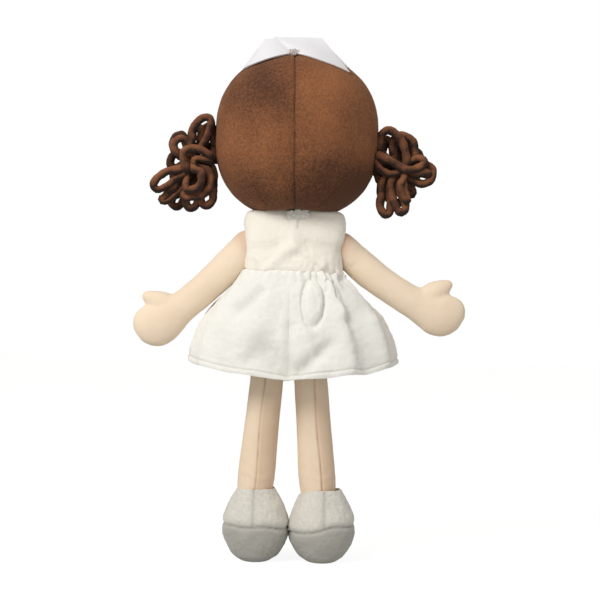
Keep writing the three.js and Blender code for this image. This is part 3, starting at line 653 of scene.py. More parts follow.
def right_top(share):
    return (lerp(CAP_CROSSING - 1.0, CAP_TOP_RIGHT, share), -0.6, CAP_TOP)


left_foot = wing_foot(-CAP_LEFT_REACH, -2.4, 1.6)
right_foot = wing_foot(-5.2, CAP_RIGHT_REACH, 0.5)
for name, foot, top, lift, node, flat, area in (
    ("cap_wing_left", left_foot, left_top, -0.9, "cap_left_wing", (0.040, 0.024), 0.00078),
    ("cap_wing_right", right_foot, right_top, -0.7, "cap_right_wing", (0.055, 0.030), 0.0012),
    ("cap_band_front", front_foot, front_top, 1.0, "cap_front", (0.120, 0.030), 0.0027),
):
    piece = felt_sheet(name, foot, top, lift)
    dress_piece(piece, "head", "cap_felt", cap_felt, node)

# Tack. A few turns of white thread over the place where the two ends cross.
TACK_TURNS, TACK_SPACING, TACK_MIDDLE = 12, 0.42, -4.0
tack_lines = []
for i in range(TACK_TURNS):
    lean = (i - (TACK_TURNS - 1) / 2) * TACK_SPACING + TACK_MIDDLE + 0.8 * sin(i * 4.1)
    rise = 1.1 * sin(i * 2.3)
    over = [(lean, -19.0, 54.2 + rise), (lean + 0.7, -17.6, 56.6 + rise)]
    arch = [(lean - 0.8, -16.6, 53.2), *over, (lean + 0.9, -14.2, 57.9)]
    tack_lines.append(tube_grid(catmull(np.array(arch) + HEAD_CENTRE, 0.4), 0.24, 6))
tack = mesh_piece("cap_tack", *joined(tack_lines))
tack_thread = thread_finish("tack_thread", (0.85, 0.74, 0.72), (0.7, 0.55, 0.52))
dress_piece(tack, "head", "cap_felt", tack_thread)


# Pigtails. Each is a thick velour cord laid in loops and tied round the middle, then sewn to the
# side of the head. The loops stand out all round the tie and hang lowest at the bottom.
CORD, CORD_FLATNESS, CORD_TWIST = 3.0, 0.82, 0.09
HIDDEN_LOOPS = 7
LEFT_CORE, RIGHT_CORE = (190.0, 160.0), (399.0, 169.0)
# Each loop has its depth in millimetres, then the places along it, across and down, in a view of
# the picture: the corner of that view, across and down, and how far it is enlarged
LEFT_VIEW, RIGHT_VIEW = (138.6, 89.3, 10.95), (358.8, 108.5, 12.7)
LEFT_LOOPS = (
    (-9, 590, 600, 600, 470, 680, 350, 775, 322, 800, 400, 760, 540, 690, 660),
    (-3, 660, 640, 700, 480, 790, 400, 822, 520, 830, 680, 800, 790),
    (-6, 470, 740, 395, 665, 392, 590, 470, 548, 550, 590, 590, 690),
    (-15, 545, 900, 505, 800, 520, 700, 610, 668, 710, 690, 800, 760),
    (-12, 610, 860, 620, 790, 700, 780, 790, 810),
    (-13, 480, 880, 330, 920, 215, 1000, 185, 1070, 240, 1110, 380, 1030, 520, 930),
    (-8, 540, 930, 420, 1050, 310, 1170, 262, 1215, 300, 1235, 430, 1150, 560, 1000),
    (-15, 610, 890, 700, 930, 700, 1050, 610, 1110, 530, 1080),
    (-10, 640, 860, 770, 900, 800, 1040, 730, 1150, 600, 1190, 500, 1150),
    (-5, 760, 830, 830, 930, 822, 1090, 810, 1220, 750, 1272, 690, 1240, 680, 1130, 690, 1020),
    (-4, 560, 1060, 525, 1200, 550, 1300, 620, 1280, 640, 1150),
    (1, 500, 1080, 390, 1170, 355, 1240, 400, 1285, 465, 1250, 500, 1150),
)
RIGHT_LOOPS = (
    (-10, 590, 730, 590, 600, 545, 460, 460, 345, 370, 295, 295, 330, 265, 440, 275, 580),
    (-4, 690, 680, 708, 560, 690, 440, 620, 372, 520, 345, 440, 400, 420, 540),
    (-1, 450, 700, 440, 560, 400, 430, 330, 400, 300, 520, 330, 660),
    (-15, 240, 620, 330, 655, 450, 730, 560, 790, 680, 795, 790, 745, 815, 690, 740, 650),
    (-12, 225, 680, 270, 790, 390, 850, 520, 840, 640, 800),
    (-9, 760, 700, 860, 730, 922, 810, 905, 910, 810, 968, 710, 950, 630, 900),
    (-12, 700, 850, 790, 820, 860, 850),
    (-7, 320, 900, 285, 1080, 268, 1240, 315, 1350, 385, 1330, 400, 1220, 370, 1080, 390, 940),
    (-11, 420, 900, 400, 1050, 440, 1210, 510, 1330, 575, 1300, 575, 1190, 500, 1060, 490, 920),
    (-14, 560, 880, 520, 1000, 545, 1130, 600, 1190, 590, 1100, 560, 960),
    (-2, 580, 900, 650, 1000, 680, 1075, 640, 1105, 580, 1020),
    (-3, 250, 700, 225, 830, 270, 930, 350, 960),
)


def hanging_loops(loops, view, core, seed):
    """Cords from the tie out round each loop and back, the loops seen first, then hidden ones"""
    random = np.random.default_rng(seed)
    home, high = seen_at(*core)
    parts = []

    def lay(points):
        line = catmull(points, 1.0)
        wave = np.stack([bumps(line, 9, seed + i * 7.0) for i in range(3)], 1)
        thick = CORD * (1 + 0.16 * bumps(line, 4, seed + 40.0))
        parts.append(tube_grid(line + 0.7 * wave, thick, 14, CORD_FLATNESS, CORD_TWIST))

    for depth, *outline in loops:
        pairs = zip(outline[::2], outline[1::2])
        places = [seen_at(view[0] + a / view[2], view[1] + b / view[2]) for a, b in pairs]
        count = len(places)
        points = [(home, depth / 2, high)]
        for i, (across, up) in enumerate(places):
            bow = sin(pi * (i + 0.5) / count)
            points.append((across, depth * (0.75 + 0.25 * bow) + 2.4 * (i / count - 0.5), up))
        points.append((home, depth / 2 + 3.0, high))
        lay(points)
    for i in range(HIDDEN_LOOPS):
        turn = 2 * pi * (i + random.uniform(-0.2, 0.2)) / HIDDEN_LOOPS + 0.4
        reach = random.uniform(17, 22)
        wide = random.uniform(0.28, 0.42)
        depth = random.uniform(5, 12)
        points = [(home, 2.0, high)]
        for angle, share in ((-wide, 0.5), (-wide, 0.85), (0, 1.0), (wide, 0.85), (wide, 0.5)):
            across = home + cos(turn + angle) * reach * share * 0.8
            up = high + sin(turn + angle) * reach * share * 1.15
            points.append((across, depth + 2 * angle, up))
        points.append((home, 4.0, high))
        lay(points)
    return joined(parts)


# Velour cord, with painted shade on the turns that lie further back and a painted highlight on the
# sides facing the key lamp
light, dark = (0.25, 0.090, 0.036), (0.018, 0.0058, 0.002)
nap = {"nap": 0.4, "tint": (0.80, 0.36, 0.14, 1)}
hair_velour = cloth_finish(
    "brown_velour_cord", light, dark, 150.0, 900.0, 1.0, 0.08, grain=0.55, **nap
)
for word, loops, view, core, seed in (
    ("left", LEFT_LOOPS, LEFT_VIEW, LEFT_CORE, 11),
    ("right", RIGHT_LOOPS, RIGHT_VIEW, RIGHT_CORE, 23),
):
    bunch = mesh_piece(f"pigtail_bunch_{word}", *hanging_loops(loops, view, core, seed))
    cords = points_of(bunch)
    swell(bunch, 0.22 * bumps(cords, 2.2, 3.0) + 0.12 * bumps(cords, 1.1, 5.0))
    # Painted light: the pile fact lightens the sides that face up, left and towards the key lamp
    # and darkens the others, with a random tone along the cords; the next fact paints shade on the
    # cords lying further back
    facing_key_lamp = read(bunch, "normal") @ np.array([-0.3, -0.35, 0.85])
    fact(bunch, "pile", 0.40 * facing_key_lamp - 0.17 + 0.2 * bumps(cords, 6, 9.0))
    fact(bunch, "crease", 0.85 * ramp(cords[:, 1], -9, 5))
    dress_piece(bunch, f"pigtail_loops_{word}", "hair_cord", hair_velour, f"pigtail_loops_{word}")

# Ties. The end of the same cord, sewn to the side seam of the head, passes back through the loops.
TIE_CORD = 3.1
for word, away, (across, forward, up), reach in (
    ("left", -1, (-55.4, 19.0, 280.4), -76.2),
    ("right", 1, (45.7, 19.0, 274.4), 67.8),
):
    route = [
        (across - away * 3.0, forward, up),
        (across + away * 4.0, forward, up),
        (lerp(across, reach, 0.75), forward - 0.6, up),
        (reach - away * 0.6, forward - 4.0, up),
        (reach, forward - 10.0, up),
        (reach, 0.0, up),
        (reach, -12.0, up),
    ]
    tie = mesh_piece(f"pigtail_tie_cord_{word}", *tube_grid(catmull(route, 1.0), TIE_CORD, 14))
    swell(tie, 0.3 * bumps(points_of(tie), 4, 6.0))
    dress_piece(tie, f"pigtail_tie_{word}", "hair_cord", hair_velour, f"pigtail_tie_{word}")


# Trunk. A stuffed bag of knit, closed across the bottom where the legs are sewn in, with a round
# stuffed neck on top. Both are covered by the dress but for the sides at the armholes.
DOLL_MIDDLE = -4.2
MIDDLE = np.array([DOLL_MIDDLE, 0, 0])
SEAM_HEIGHT = 160.6
TRUNK_HEIGHT, TRUNK_HALF_WIDTH, TRUNK_HALF_DEPTH = 79.2, 31.3, 19.0
TRUNK_ROWS = (
    (0.0, 0.5, 0.03, 2.2), (0.063, 0.68, 0.235, 2.3), (0.155, 0.80, 0.57, 2.5),
    (0.27, 0.89, 0.86, 2.8), (0.36, 0.93, 0.95, 3.0), (0.433, 0.94, 0.98, 3.2),
    (0.58, 0.95, 0.99, 3.5), (0.73, 1.0, 0.96, 3.6), (0.85, 1.0, 0.86, 3.4),
    (0.93, 0.97, 0.73, 2.8), (0.975, 0.88, 0.63, 2.4), (1.0, 0.74, 0.56, 2.2),
)


def filled_rows(rows, count):
    """Rows of sizes filled in smoothly to a number of rows"""
    rows = np.array(rows, float)
    places = np.linspace(0, len(rows) - 1, count)
    low = np.clip(places.astype(int), 0, len(rows) - 2)
    t = (places - low)[:, None]
    return curve_at(*(rows[np.clip(low + i, 0, len(rows) - 1)] for i in (-1, 0, 1, 2)), t)


def ring(turns, half_width, back, front, squareness):
    """Level outline, across and forward, at each turn"""
    depth = np.where(np.sin(turns) < 0, back, front)
    reach = np.abs(np.cos(turns) / half_width) ** squareness
    reach = (reach + np.abs(np.sin(turns) / depth) ** squareness) ** (-1 / squareness)
    return np.cos(turns) * reach, np.sin(turns) * reach


def ringed(rows, grid):
    """Points of level outlines, each with its height, half width, depth (or those behind and in
    front) and squareness, filled in to the rows and columns of a grid"""
    turns = full_turn(grid[1])
    points = []
    for height, half_width, *depths, squareness in filled_rows(rows, grid[0]):
        across, forward = ring(turns, half_width, depths[0], depths[-1], squareness)
        points.append(np.stack([across, forward, np.full(grid[1], height)], 1))
    return np.concatenate(points)


TRUNK_GRID = (60, 120)
trunk_rows = [
    (SEAM_HEIGHT + z * TRUNK_HEIGHT, w * TRUNK_HALF_WIDTH, d * TRUNK_HALF_DEPTH, q)
    for z, w, d, q in TRUNK_ROWS
]
trunk_points = ringed(trunk_rows, TRUNK_GRID) + MIDDLE
trunk = mesh_piece("trunk_knit", trunk_points, capped(*TRUNK_GRID))
swell(trunk, 0.5 * bumps(trunk_points, 12, 2.0) - 0.5 * groove(trunk_points[:, 1], 1.2))
skin_piece(trunk, "torso", "torso_front", "torso_back", "torso_filling")

NECK_ROWS = ((231.0, 5.0), (234.0, 8.2), (240.0, 9.5), (246.0, 9.6), (251.0, 9.3), (253.5, 8.0))
NECK_GRID = (30, 60)
neck_points = ringed([(z, r, r, 2.0) for z, r in NECK_ROWS], NECK_GRID) + MIDDLE
neck = mesh_piece("neck_knit", neck_points, capped(*NECK_GRID))
swell(neck, 0.25 * bumps(neck_points, 5, 4.0))
skin_piece(neck, "neck", "neck")

# Leg seam. The open bottom of the trunk is rolled round the tops of both legs and stitched through.
seam_line = [(a, 0.3 * sin(a), SEAM_HEIGHT + 0.3 * cos(a / 3)) for a in range(-23, 24)]
hip_seam = mesh_piece("leg_seam_roll", *tube_grid(np.array(seam_line) + MIDDLE, 1.5, 12))
skin_piece(hip_seam, "leg_seam", "leg_seam")


# Arms. Each is cut in two matching panels with the hand and its thumb in one, sewn round the edge,
# stuffed, and joined to the side of the trunk by its round end.
SHOULDER_RADIUS, ARM_LENGTH = 11.5, 98.0
ARM_ROWS = (
    (-9.5, 4.5, 4.5), (-7.0, 8.4, 8.4), (-2.5, 11.0, 11.0), (5.0, 11.4, 11.0),
    (13.0, 11.4, 10.4), (27.0, 11.4, 10.6), (44.0, 10.9, 10.1), (58.0, 11.1, 9.6),
    (66.0, 11.9, 9.3), (74.0, 13.9, 9.5), (82.0, 15.9, 9.2), (90.0, 15.2, 8.0),
    (95.5, 11.2, 5.9), (99.0, 5.2, 2.8),
)
THUMB = ((3.0, 9.0), (9.0, 8.7), (14.0, 7.2), (18.0, 5.4), (21.3, 3.7), (23.3, 1.8))
THUMB_PLACE, THUMB_LEAN = 68.0, radians(25)
ARM_GRID, THUMB_GRID, TAB_GRID = (90, 72), (30, 40), (10, 36)
TAB_RADIUS, TAB_THICKNESS = SHOULDER_RADIUS + 1.1, 0.9
SIDEWAYS = np.array([0, 1, 0])


def remeshed(piece, voxel, passes):
    """One even skin over joined forms"""
    shaped = {"mode": "VOXEL", "voxel_size": voxel * MM, "use_smooth_shade": True}
    return solid_copy(piece, ("REMESH", shaped), ("SMOOTH", {"factor": 0.5, "iterations": passes}))


def stuffed_arm(word, side, shoulder, drop, sag):
    main = ringed([(t, w, d, 2.1) for t, w, d in ARM_ROWS], ARM_GRID)
    main[:, 0] -= sag * np.sin(pi * np.clip(main[:, 2] / ARM_LENGTH, 0, 1))
    along, forward, out = ringed([(t, r, r * 0.86, 2.0) for t, r in THUMB], THUMB_GRID).T
    turned = THUMB_PLACE + along * cos(THUMB_LEAN) + out * sin(THUMB_LEAN)
    out = out * cos(THUMB_LEAN) - along * sin(THUMB_LEAN)
    thumb = np.stack([out, forward, turned], 1)
    points, faces = joined([(main, capped(*ARM_GRID)), (thumb, capped(*THUMB_GRID))])
    ahead = np.array([side * cos(drop), 0, -sin(drop)])
    up = np.array([side * sin(drop), 0, cos(drop)])
    placed = points[:, [2]] * ahead + points[:, [0]] * up + points[:, [1]] * SIDEWAYS + shoulder
    arm = remeshed(mesh_piece(f"arm_knit_{word}", placed, faces), 1.0, 9)
    there = points_of(arm) - shoulder
    along, rise = there @ ahead, there @ up
    edge = (np.abs(rise) > 5) | (along > 88)
    seam = groove(there[:, 1], 0.8) * edge * ramp(along, -4, 6)
    tucks = swelling(along - 12, 5) * np.maximum(0, bumps(there, (5, 9, 5), 3.0))
    stuffing = 0.35 * bumps(there, 13, side * 5.0) + 0.12 * bumps(there, 4, 1.0)
    swell(arm, stuffing - 0.45 * seam - 0.9 * tucks)
    # Painted shade: darker, warmer cloth where the arm goes into the armhole, besides the dark seam
    # round its edge
    painted_armhole_shade = 1 - ramp(along, -2, 9)
    fact(arm, "crease", np.clip(0.3 * seam + 0.35 * painted_armhole_shade, 0, 1))
    fact(arm, "blush", np.clip(0.28 * painted_armhole_shade, 0, 1))
    skin_piece(arm, f"arm_{word}", f"arm_skin_{word}", f"arm_filling_{word}")

    # Shoulder tab: the round end is caught by a small dome of cloth inside the side seam
    dome = []
    for lift in np.linspace(0.04, radians(28), TAB_GRID[0]):
        inward, reach = -side * TAB_RADIUS * cos(lift), TAB_RADIUS * sin(lift)
        for turn in full_turn(TAB_GRID[1]):
            dome.append(shoulder + (inward, reach * cos(turn), reach * sin(turn)))
    faces = [*grid_faces(*TAB_GRID), tuple(range(TAB_GRID[1]))]
    tab = mesh_piece(f"shoulder_tab_knit_{word}", dome, faces)
    solid_copy(tab, ("SOLIDIFY", {"thickness": TAB_THICKNESS * MM, "offset": 0.0}))
    skin_piece(tab, f"shoulder_tab_{word}", f"shoulder_tab_{word}")


stuffed_arm("left", -1, np.array([-37.2, 0.0, 218.8]), radians(41), 3.6)
stuffed_arm("right", 1, np.array([28.8, 0.0, 218.8]), radians(31), 5.6)


# Legs. Long stuffed tubes of the same knit, sewn down the back, pinched flat into the leg seam at
# the top and rounded at the bottom where they stand in the shoes.
LEG_LENGTH = 110.6
LEG_ROWS = (
    (0.0, 7.0, 1.4), (3.0, 8.4, 3.2), (6.0, 9.9, 5.8), (10.0, 11.0, 8.8), (16.0, 11.4, 10.6),
    (40.0, 11.6, 11.0), (78.0, 12.3, 11.1), (97.0, 12.9, 11.6), (110.6, 12.4, 11.8),
    (116.0, 10.6, 10.4), (120.5, 6.6, 6.6), (122.0, 2.6, 2.6),
)
LEG_GRID = (130, 110)


def stuffed_leg(word, side, hip, splay, seam_top, seam_foot):
    points = ringed([(-t, w, d, 2.1) for t, w, d in LEG_ROWS], LEG_GRID)
    along = -points[:, 2]
    beside = points[:, 0] - lerp(seam_top, seam_foot, along / LEG_LENGTH) - 0.5 * np.sin(along / 13)
    behind = points[:, 1] < 0
    seam = groove(beside, 0.42) * behind
    ridge = swelling(beside + side * 1.4, 0.9) * behind
    sink = swelling(along - 102, 5)
    # Painted shade: a warm tan over the lower leg, deeper on the half to the right of the back seam
    shaded = 0.10 + 0.29 * ramp(beside, -0.6, 2.5) * behind
    shaded *= ramp(along, 30, 60)
    amounts = 0.45 * bumps(points, (14, 14, 26), side * 9.0) + 0.14 * bumps(points, 4, 1.0)
    amounts += 0.35 * sink * bumps(points, (6, 6, 3), 7.0) - 0.75 * seam + 0.22 * ridge
    down = np.array([side * sin(splay), 0, -cos(splay)])
    out = np.array([cos(splay), 0, side * sin(splay)])
    placed = along[:, None] * down + points[:, [0]] * out + points[:, [1]] * SIDEWAYS + hip
    crease = np.clip(0.8 * seam + shaded, 0, 1)
    leg = mesh_piece(f"leg_knit_{word}", placed, capped(*LEG_GRID), crease=crease)
    swell(leg, amounts)
    skin_piece(leg, f"leg_{word}", f"leg_skin_{word}", f"leg_filling_{word}")


stuffed_leg("left", -1, np.array([-18.6, 0.0, 160.6]), radians(5.0), -1.6, -0.2)
stuffed_leg("right", 1, np.array([6.2, 0.0, 160.6]), radians(4.9), 2.2, 2.6)


# Shoes. Soft shoes of grey plush that are part of the leg: a cup for the sole, an upper sewn to it
# all round and closed by a seam at the heel, and a stuffed toe.
SHOE_HEIGHT, SHOE_HALF_WIDTH, HEEL, TOE = 49.5, 22.5, 22.0, 43.0
SHOE_GRID, OUTER_SHARE = (120, 150), 0.78
SHOE_ROWS = (
    (0.0, 0.36, 0.62, 0.68), (0.02, 0.5, 0.75, 0.80), (0.10, 0.73, 0.88, 0.925),
    (0.25, 0.93, 0.975, 0.99), (0.42, 1.01, 1.0, 1.0), (0.6, 0.98, 0.97, 0.88),
    (0.76, 0.89, 0.84, 0.67), (0.89, 0.75, 0.71, 0.47), (0.975, 0.63, 0.64, 0.335),
    (1.01, 0.585, 0.6, 0.305), (1.005, 0.545, 0.56, 0.285), (0.95, 0.53, 0.54, 0.28),
    (0.9, 0.50, 0.5, 0.26),
)
light, dark, seam_and_shade_colour = (0.79, 0.755, 0.68), (0.60, 0.575, 0.515), (0.24, 0.235, 0.215)
shoe_plush = cloth_finish("grey_plush", light, dark, 90.0, 620.0, 1.0, 0.35, seam_and_shade_colour, grain=0.75)


def plush_shoe(word, side, across, left_height, right_height, heel_across):
    sizes = (SHOE_HEIGHT, SHOE_HALF_WIDTH, HEEL, TOE)
    points = ringed([(*np.multiply(row, sizes), 2.2) for row in SHOE_ROWS], SHOE_GRID)
    x, y, z = points.T
    share = ramp(x, -SHOE_HALF_WIDTH, SHOE_HALF_WIDTH)
    level = lerp(left_height, right_height, share) + 0.6 * np.sin(x / 4.0) + 0.4 * np.sin(y / 6.0)
    outer = np.arange(len(points)) < len(points) * OUTER_SHARE
    seam = groove(z - level, 1.0) * outer
    heel = groove(x - heel_across, 1.1) * (y < 0) * ramp(z, level, level + 3) * outer
    standing = ramp(z, 0.4, 5.0)
    pile = 0.5 * bumps(points, 9, side * 3.0) + 0.32 * bumps(points, 2.6, 5.0)
    pile += 0.2 * bumps(points, 1.3, 8.0)
    puff = 0.7 * swelling(z - level - 4, 4) + 0.5 * swelling(z - level + 5, 5)
    # Painted shade: the band below the seam is darker, as if shaded from the light above; the seams
    # are dark lines
    lower = 0.76 * ramp(level - z, -1, 4)
    crease = np.clip(np.clip(seam + 0.55 * heel, 0, 1) + lower, 0, 1)
    placed = points + np.array([across, 0, 0])
    shoe = mesh_piece(f"shoe_plush_{word}", placed, capped(*SHOE_GRID), crease=crease)
    swell(shoe, standing * (pile + puff - 1.5 * seam - 0.6 * heel))
    standing_points = points_of(shoe)
    standing_points[:, 2] = np.maximum(standing_points[:, 2], 0.0)
    move_points(shoe, standing_points)
    nodes = (f"shoe_sole_{word}", f"shoe_upper_{word}", f"shoe_filling_{word}")
    dress_piece(shoe, f"shoe_{word}", "shoe_plush", shoe_plush, *nodes)


plush_shoe("left", -1, -27.3, 25.2, 24.2, -1.5)
plush_shoe("right", 1, 18.9, 20.6, 26.8, 1.5)


# Bodice. Two back panels and a front one of short white plush, sewn at the shoulders and sides, cut
# out round for the arms and pulled into soft folds by the waist seam.
CLOTH = 1.5
WAIST = 203.5
BODICE_ROWS = (
    (201.2, 33.2, 21.8, 3.2), (203.0, 34.0, 22.4, 3.4), (208.5, 34.2, 22.6, 3.5),
    (218.4, 34.7, 22.0, 3.6), (228.0, 35.2, 20.3, 3.6), (234.5, 35.4, 18.2, 3.4),
    (239.0, 35.0, 16.4, 3.0), (242.3, 33.8, 15.2, 2.8),
)
COLLAR_ROWS = ((244.2, 30.0, 14.0, 2.5), (244.6, 25.0, 13.0, 2.3), (244.2, 20.0, 12.2, 2.1))
COLLAR_INNER_ROWS = (
    (243.0, 16.8, 11.4, 2.0), (240.6, 16.4, 11.0, 2.0), (240.0, 25.0, 12.4, 2.3),
    (239.4, 31.8, 14.2, 2.8),
)
BODICE_GRID = (130, 150)
ARMHOLE_SIZE, ARMHOLE_SPREAD = (13.0, 22.0, 17.5), 38.5
ARMHOLE_FORWARD, ARMHOLE_HEIGHT = 8.5, 216.5
BACK_FOLDS = (
    ((297, 226), (292, 248), 4.4, 1.2), ((292, 248), (266, 272), 4.0, 1.5),
    ((298, 248), (322, 265), 3.0, 1.8), ((322, 265), (345, 274), 2.8, 1.7),
    ((309, 244), (340, 250), 5.0, -1.6), ((287, 268), (304, 274), 4.0, 1.0),
    ((256, 250), (276, 246), 4.0, -1.0), ((254, 262), (262, 276), 2.4, -0.8),
)


def folded(points, folds, behind):
    """Height of cloth at each point from folds laid along lines of the picture"""
    height = np.zeros(len(points))
    flat = points[:, [0, 2]]
    for first, last, width, rise in folds:
        away = span_distance(flat, seen_at(*first), seen_at(*last))
        height += rise * swelling(away, width)
    return 0.85 * height * behind


def waist_rise(points):
    """How far the waist seam wanders up or down where the cloth was eased in"""
    near = swelling(points[:, 2] - WAIST, 7)
    return near * (1.3 * bumps(points * (1, 1, 0), 15, 31.0) - 2.2 * ramp(points[:, 0], 6, 30))


inner_rows = [(z, w - CLOTH, d - CLOTH, q) for z, w, d, q in BODICE_ROWS[-2::-1]]
bodice_rows = (*BODICE_ROWS, *COLLAR_ROWS, *COLLAR_INNER_ROWS, *inner_rows)
bodice_points = ringed(bodice_rows, BODICE_GRID) + MIDDLE
bodice = mesh_piece("bodice_plush", bodice_points, grid_faces(*BODICE_GRID, along=True))
for side in (-1, 1):
    work = bmesh.new()
    bmesh.ops.create_uvsphere(work, u_segments=48, v_segments=32, radius=1.0)
    cutter = added("armhole", bpy.data.meshes.new("armhole"))
    work.to_mesh(cutter.data)
    work.free()
    cutter.scale = np.array(ARMHOLE_SIZE) * MM
    across = DOLL_MIDDLE + side * ARMHOLE_SPREAD
    cutter.location = np.array([across, ARMHOLE_FORWARD, ARMHOLE_HEIGHT]) * MM
    bpy.context.view_layer.update()
    cut = {"object": cutter, "operation": "DIFFERENCE", "solver": "EXACT"}
    solid_copy(bodice, ("BOOLEAN", cut))
    bpy.data.objects.remove(cutter)
remeshed(bodice, 0.62, 4)
there = points_of(bodice)
behind = ramp(-there[:, 1], 0, 6)
height = folded(there, BACK_FOLDS, behind)
slit = span_distance(there[:, [0, 2]], seen_at(298.5, 214), seen_at(298, 229))
slit = groove(slit, 0.8) * behind
back_seam = groove(there[:, 0] - seen_at(297, 250)[0], 0.8) * behind * 0.08
bearing = np.arctan2(there[:, 1], there[:, 0] - DOLL_MIDDLE)
gathers = (1 - ramp(there[:, 2], WAIST, WAIST + 8)) * ramp(there[:, 0], -2, 14)
gathers *= 0.7 * np.sin(bearing * 34 + bumps(there, 9) * 3)
waves = 0.7 * bumps(there, (13, 13, 10), 6.0)
waves += 0.3 * bumps(there, 3.4, 2.0) + 0.16 * bumps(there, 1.5, 2.0)
radial = there * (1, 1, 0) - MIDDLE
radial /= np.linalg.norm(radial, axis=1)[:, None]
moved = there + radial * (height + gathers * 0.5 + waves - slit - back_seam)[:, None]
moved[:, 2] += waist_rise(moved)
move_points(bodice, moved)
# Dark slit and back seam, and painted shade in the valleys of the folds
crease = 0.7 * slit + 0.5 * back_seam + np.clip(-0.25 * height, 0, 0.3)
fact(bodice, "crease", np.clip(crease, 0, 1))

light, dark, seam_and_shade_colour = (0.975, 0.935, 0.84), (0.92, 0.87, 0.765), (0.60, 0.555, 0.47)
bodice_plush = cloth_finish("cream_plush", light, dark, 45.0, 1000.0, 0.6, 0.25, seam_and_shade_colour)
bodice_nodes = ("bodice_front", "bodice_back_left", "bodice_back_right")
dress_piece(bodice, "torso", "dress_plush", bodice_plush, *bodice_nodes)


# Skirt. A straight strip of the same plush, gathered into the waist seam and closed down the middle
# of the back. It springs out over the hips, drops in a few soft folds, and has a turned hem.
SKIRT_HEM = (71.8, 37.0)
SKIRT_SIDE_DROP, SKIRT_BACK_DROP = 65.6, 75.1
SKIRT_SPRING = 1.9
SKIRT_WAIST = (0.95 * TRUNK_HALF_WIDTH + 3.8, TRUNK_HALF_DEPTH + 3.0)
HEM_BAND = 4.0
SKIRT_GRID = (110, 420)
SKIRT_FOLDS = (
    ((262, 291), (239, 308), 3.4, -3.0), ((264, 334), (247, 358), 6.0, -3.4),
    ((272, 300), (262, 330), 7.0, 1.6), ((290, 325), (287, 368), 3.6, -2.0),
    ((330, 343), (302, 368), 4.6, -3.8), ((340, 278), (352, 317), 4.8, -2.2),
    ((352, 317), (370, 364), 7.4, -3.2), ((268, 350), (288, 368), 8.0, -4.6),
    ((228, 330), (220, 366), 6.0, 1.6), ((328, 286), (342, 312), 4.0, 2.0),
    ((342, 312), (350, 366), 5.6, 1.6), ((372, 320), (386, 362), 4.5, 1.8),
    ((306, 335), (322, 368), 5.0, 1.6), ((333, 282), (335, 296), 1.2, -2.2),
    ((325, 282), (326, 292), 1.1, -2.0),
)
BULGE_MIDDLE, BULGE_SIZE = (313, 302), (6.7, 14.2)


def skirt_surface(turns, run):
    """Outline of the skirt at one share of the way from waist to hem"""
    out, square = 1 - (1 - run) ** SKIRT_SPRING, lerp(3.2, 2.3, sqrt(run))
    width, depth = (lerp(low, high, out) for low, high in zip(SKIRT_WAIST, SKIRT_HEM))
    across, forward = ring(turns, width, depth, depth, square)
    bearing = np.arctan2(forward / depth, across / width)
    drop = lerp(SKIRT_SIDE_DROP, SKIRT_BACK_DROP, np.sin(bearing) ** 2)
    rise = WAIST - drop * run - 1.6 * exp(-run * 40)
    return np.stack([across + DOLL_MIDDLE, forward, rise], 1), bearing, drop


turns = full_turn(SKIRT_GRID[1])
middle = np.array(seen_at(*BULGE_MIDDLE))
outer, facts = [], []
for run in np.linspace(0, 1, SKIRT_GRID[0]):
    points, bearing, drop = skirt_surface(turns, run)
    behind = ramp(-points[:, 1], 0, 8)
    height = folded(points, SKIRT_FOLDS, behind)
    oval = np.hypot(*((points[:, [0, 2]] - middle) / BULGE_SIZE).T)
    height += behind * (2.8 * np.exp(-(oval**4)) - 1.8 * swelling(oval - 1.15, 0.18))
    front_folds = 2.6 * np.cos(9 * bearing + 0.7 * np.sin(2 * bearing)) * run * (1 - behind)
    side_folds = 1.0 * np.cos(13 * bearing + 1.0) * run * behind
    gather = 1.0 * np.sin(46 * bearing + 2.5 * bumps(points, 12, 4.0)) * exp(-run * 10)
    gather *= 1 - 0.8 * behind * (1 - ramp(points[:, 0], -8, 4))
    tucks = behind * ramp(points[:, 0], 8, 14)
    gather += 1.3 * np.sin(23 * bearing + 1.0) * exp(-run * 6.5) * tucks
    pile = 0.7 * bumps(points, 11, 3.0) + 0.3 * bumps(points, 3.2, 5.0)
    pile += 0.15 * bumps(points, 1.5, 8.0)
    to_hem = (1 - run) * drop
    stitch = swelling(to_hem - HEM_BAND, 0.55)
    hem = 0.4 * swelling(to_hem - HEM_BAND * 0.4, 1.6)
    back_seam = groove(points[:, 0] - seen_at(289, 340)[0], 0.8) * behind
    back_seam *= ramp(run, 0.1, 0.3)
    ease = ramp(run, 0.0, 0.06)
    puff = 1.5 * (exp(-run * 14) - exp(-run * 45))
    pressed = 4.5 * np.exp(-((points[:, 1] / 9) ** 2) - ((points[:, 2] - 190) / 12) ** 2)
    total = puff + ease * (height + front_folds + side_folds + pile - pressed) + gather + hem
    total -= 0.65 * stitch + 0.55 * back_seam
    away = (points - MIDDLE) * (1, 1, 0)
    away /= np.linalg.norm(away, axis=1)[:, None]
    outer.append(points + (away + (0, 0, 0.5)) * total[:, None])
    # Dark hem stitching and back seam, and painted shade in the valleys of the folds
    dark = 0.45 * stitch + 0.25 * back_seam + np.clip(-0.11 * (height + front_folds), 0, 0.34)
    facts.append(np.clip(dark, 0, 1))
outer = np.concatenate(outer)
outer[:, 2] += waist_rise(outer)
skirt = mesh_piece("skirt_plush", outer, grid_faces(*SKIRT_GRID), crease=np.concatenate(facts))
thickened(skirt, CLOTH, -1.0, 0.45, use_even_offset=False)
light, dark, seam_and_shade_colour = (0.925, 0.91, 0.865), (0.865, 0.85, 0.795), (0.56, 0.545, 0.49)
skirt_plush = cloth_finish("white_plush", light, dark, 40.0, 1000.0, 0.6, 0.25, seam_and_shade_colour)
dress_piece(skirt, None, "dress_plush", skirt_plush, "skirt")
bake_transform(skirt)


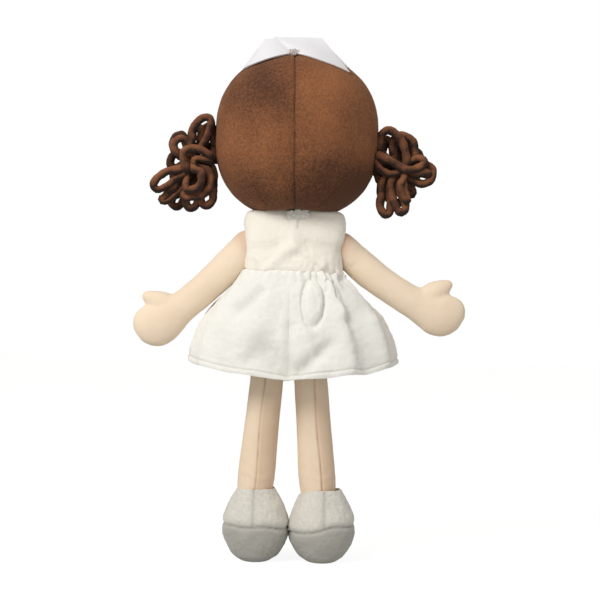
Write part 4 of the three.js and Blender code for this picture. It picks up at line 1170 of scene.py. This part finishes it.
# Nape closure. A short tab of hook-and-loop tape on the left panel closes over a patch of the loop
# half on the right one. Its edges are fuzzy from use.
TAPE_GRID, COLLAR_BEND, COLLAR_LEAN = (26, 60), 26.0, 0.22
TAB_MIDDLE, TAB_SIZE, TAB_DEPTH = (297.5, 216.3), (15.0, 6.6), -18.0
PATCH_SHIFT, PATCH_SIZE, PATCH_DEPTH = (3.4, -0.2), (9.5, 5.2), -16.3


def tape_patch(name, middle, size, depth, thick, fuzz, seed):
    """Soft rectangle of tape that follows the back of the collar"""
    points = []
    for row in np.linspace(-1, 1, TAPE_GRID[0]):
        for column in np.linspace(-1, 1, TAPE_GRID[1]):
            across, up = middle[0] + column * size[0] / 2, middle[1] + row * size[1] / 2
            turn = (across - DOLL_MIDDLE) / COLLAR_BEND
            points.append((across, depth + 4.0 * turn**2 - COLLAR_LEAN * (up - middle[1]), up))
    points = np.array(points)
    points[:, 1] += fuzz * bumps(points, 2.2, seed) + fuzz * 0.6 * bumps(points, 1.0, seed + 3)
    rim = np.linalg.norm((points[:, [0, 2]] - middle) / (np.array(size) / 2), axis=1)[:, None]
    ragged = np.stack([bumps(points, 1.6, seed + 20), bumps(points, 1.6, seed + 30)], 1)
    points[:, [0, 2]] += 2.0 * fuzz * ragged * np.clip(rim, 0, 1)
    piece = mesh_piece(name, points, grid_faces(*TAPE_GRID, around=False))
    return thickened(piece, thick, 0.0, 0.3)


light, dark = (0.90, 0.87, 0.80), (0.52, 0.50, 0.445)
tape_grey = cloth_finish("grey_tape", light, dark, 420.0, 1000.0, 1.0, 0.3, grain=0.6)
tab_place = seen_at(*TAB_MIDDLE)
patch_place = np.array(tab_place) + PATCH_SHIFT
patch = tape_patch("closure_patch", patch_place, PATCH_SIZE, PATCH_DEPTH, 1.0, 0.25, 5.0)
dress_piece(patch, "torso", "tape", tape_grey, "closure_loop_tape")
tab = tape_patch("closure_tab_tape", tab_place, TAB_SIZE, TAB_DEPTH, 1.1, 0.55, 9.0)
dress_piece(tab, "closure_tab", "tape", tape_grey, "closure_hook_tab")

bpy.context.scene.view_settings.view_transform = "Standard"
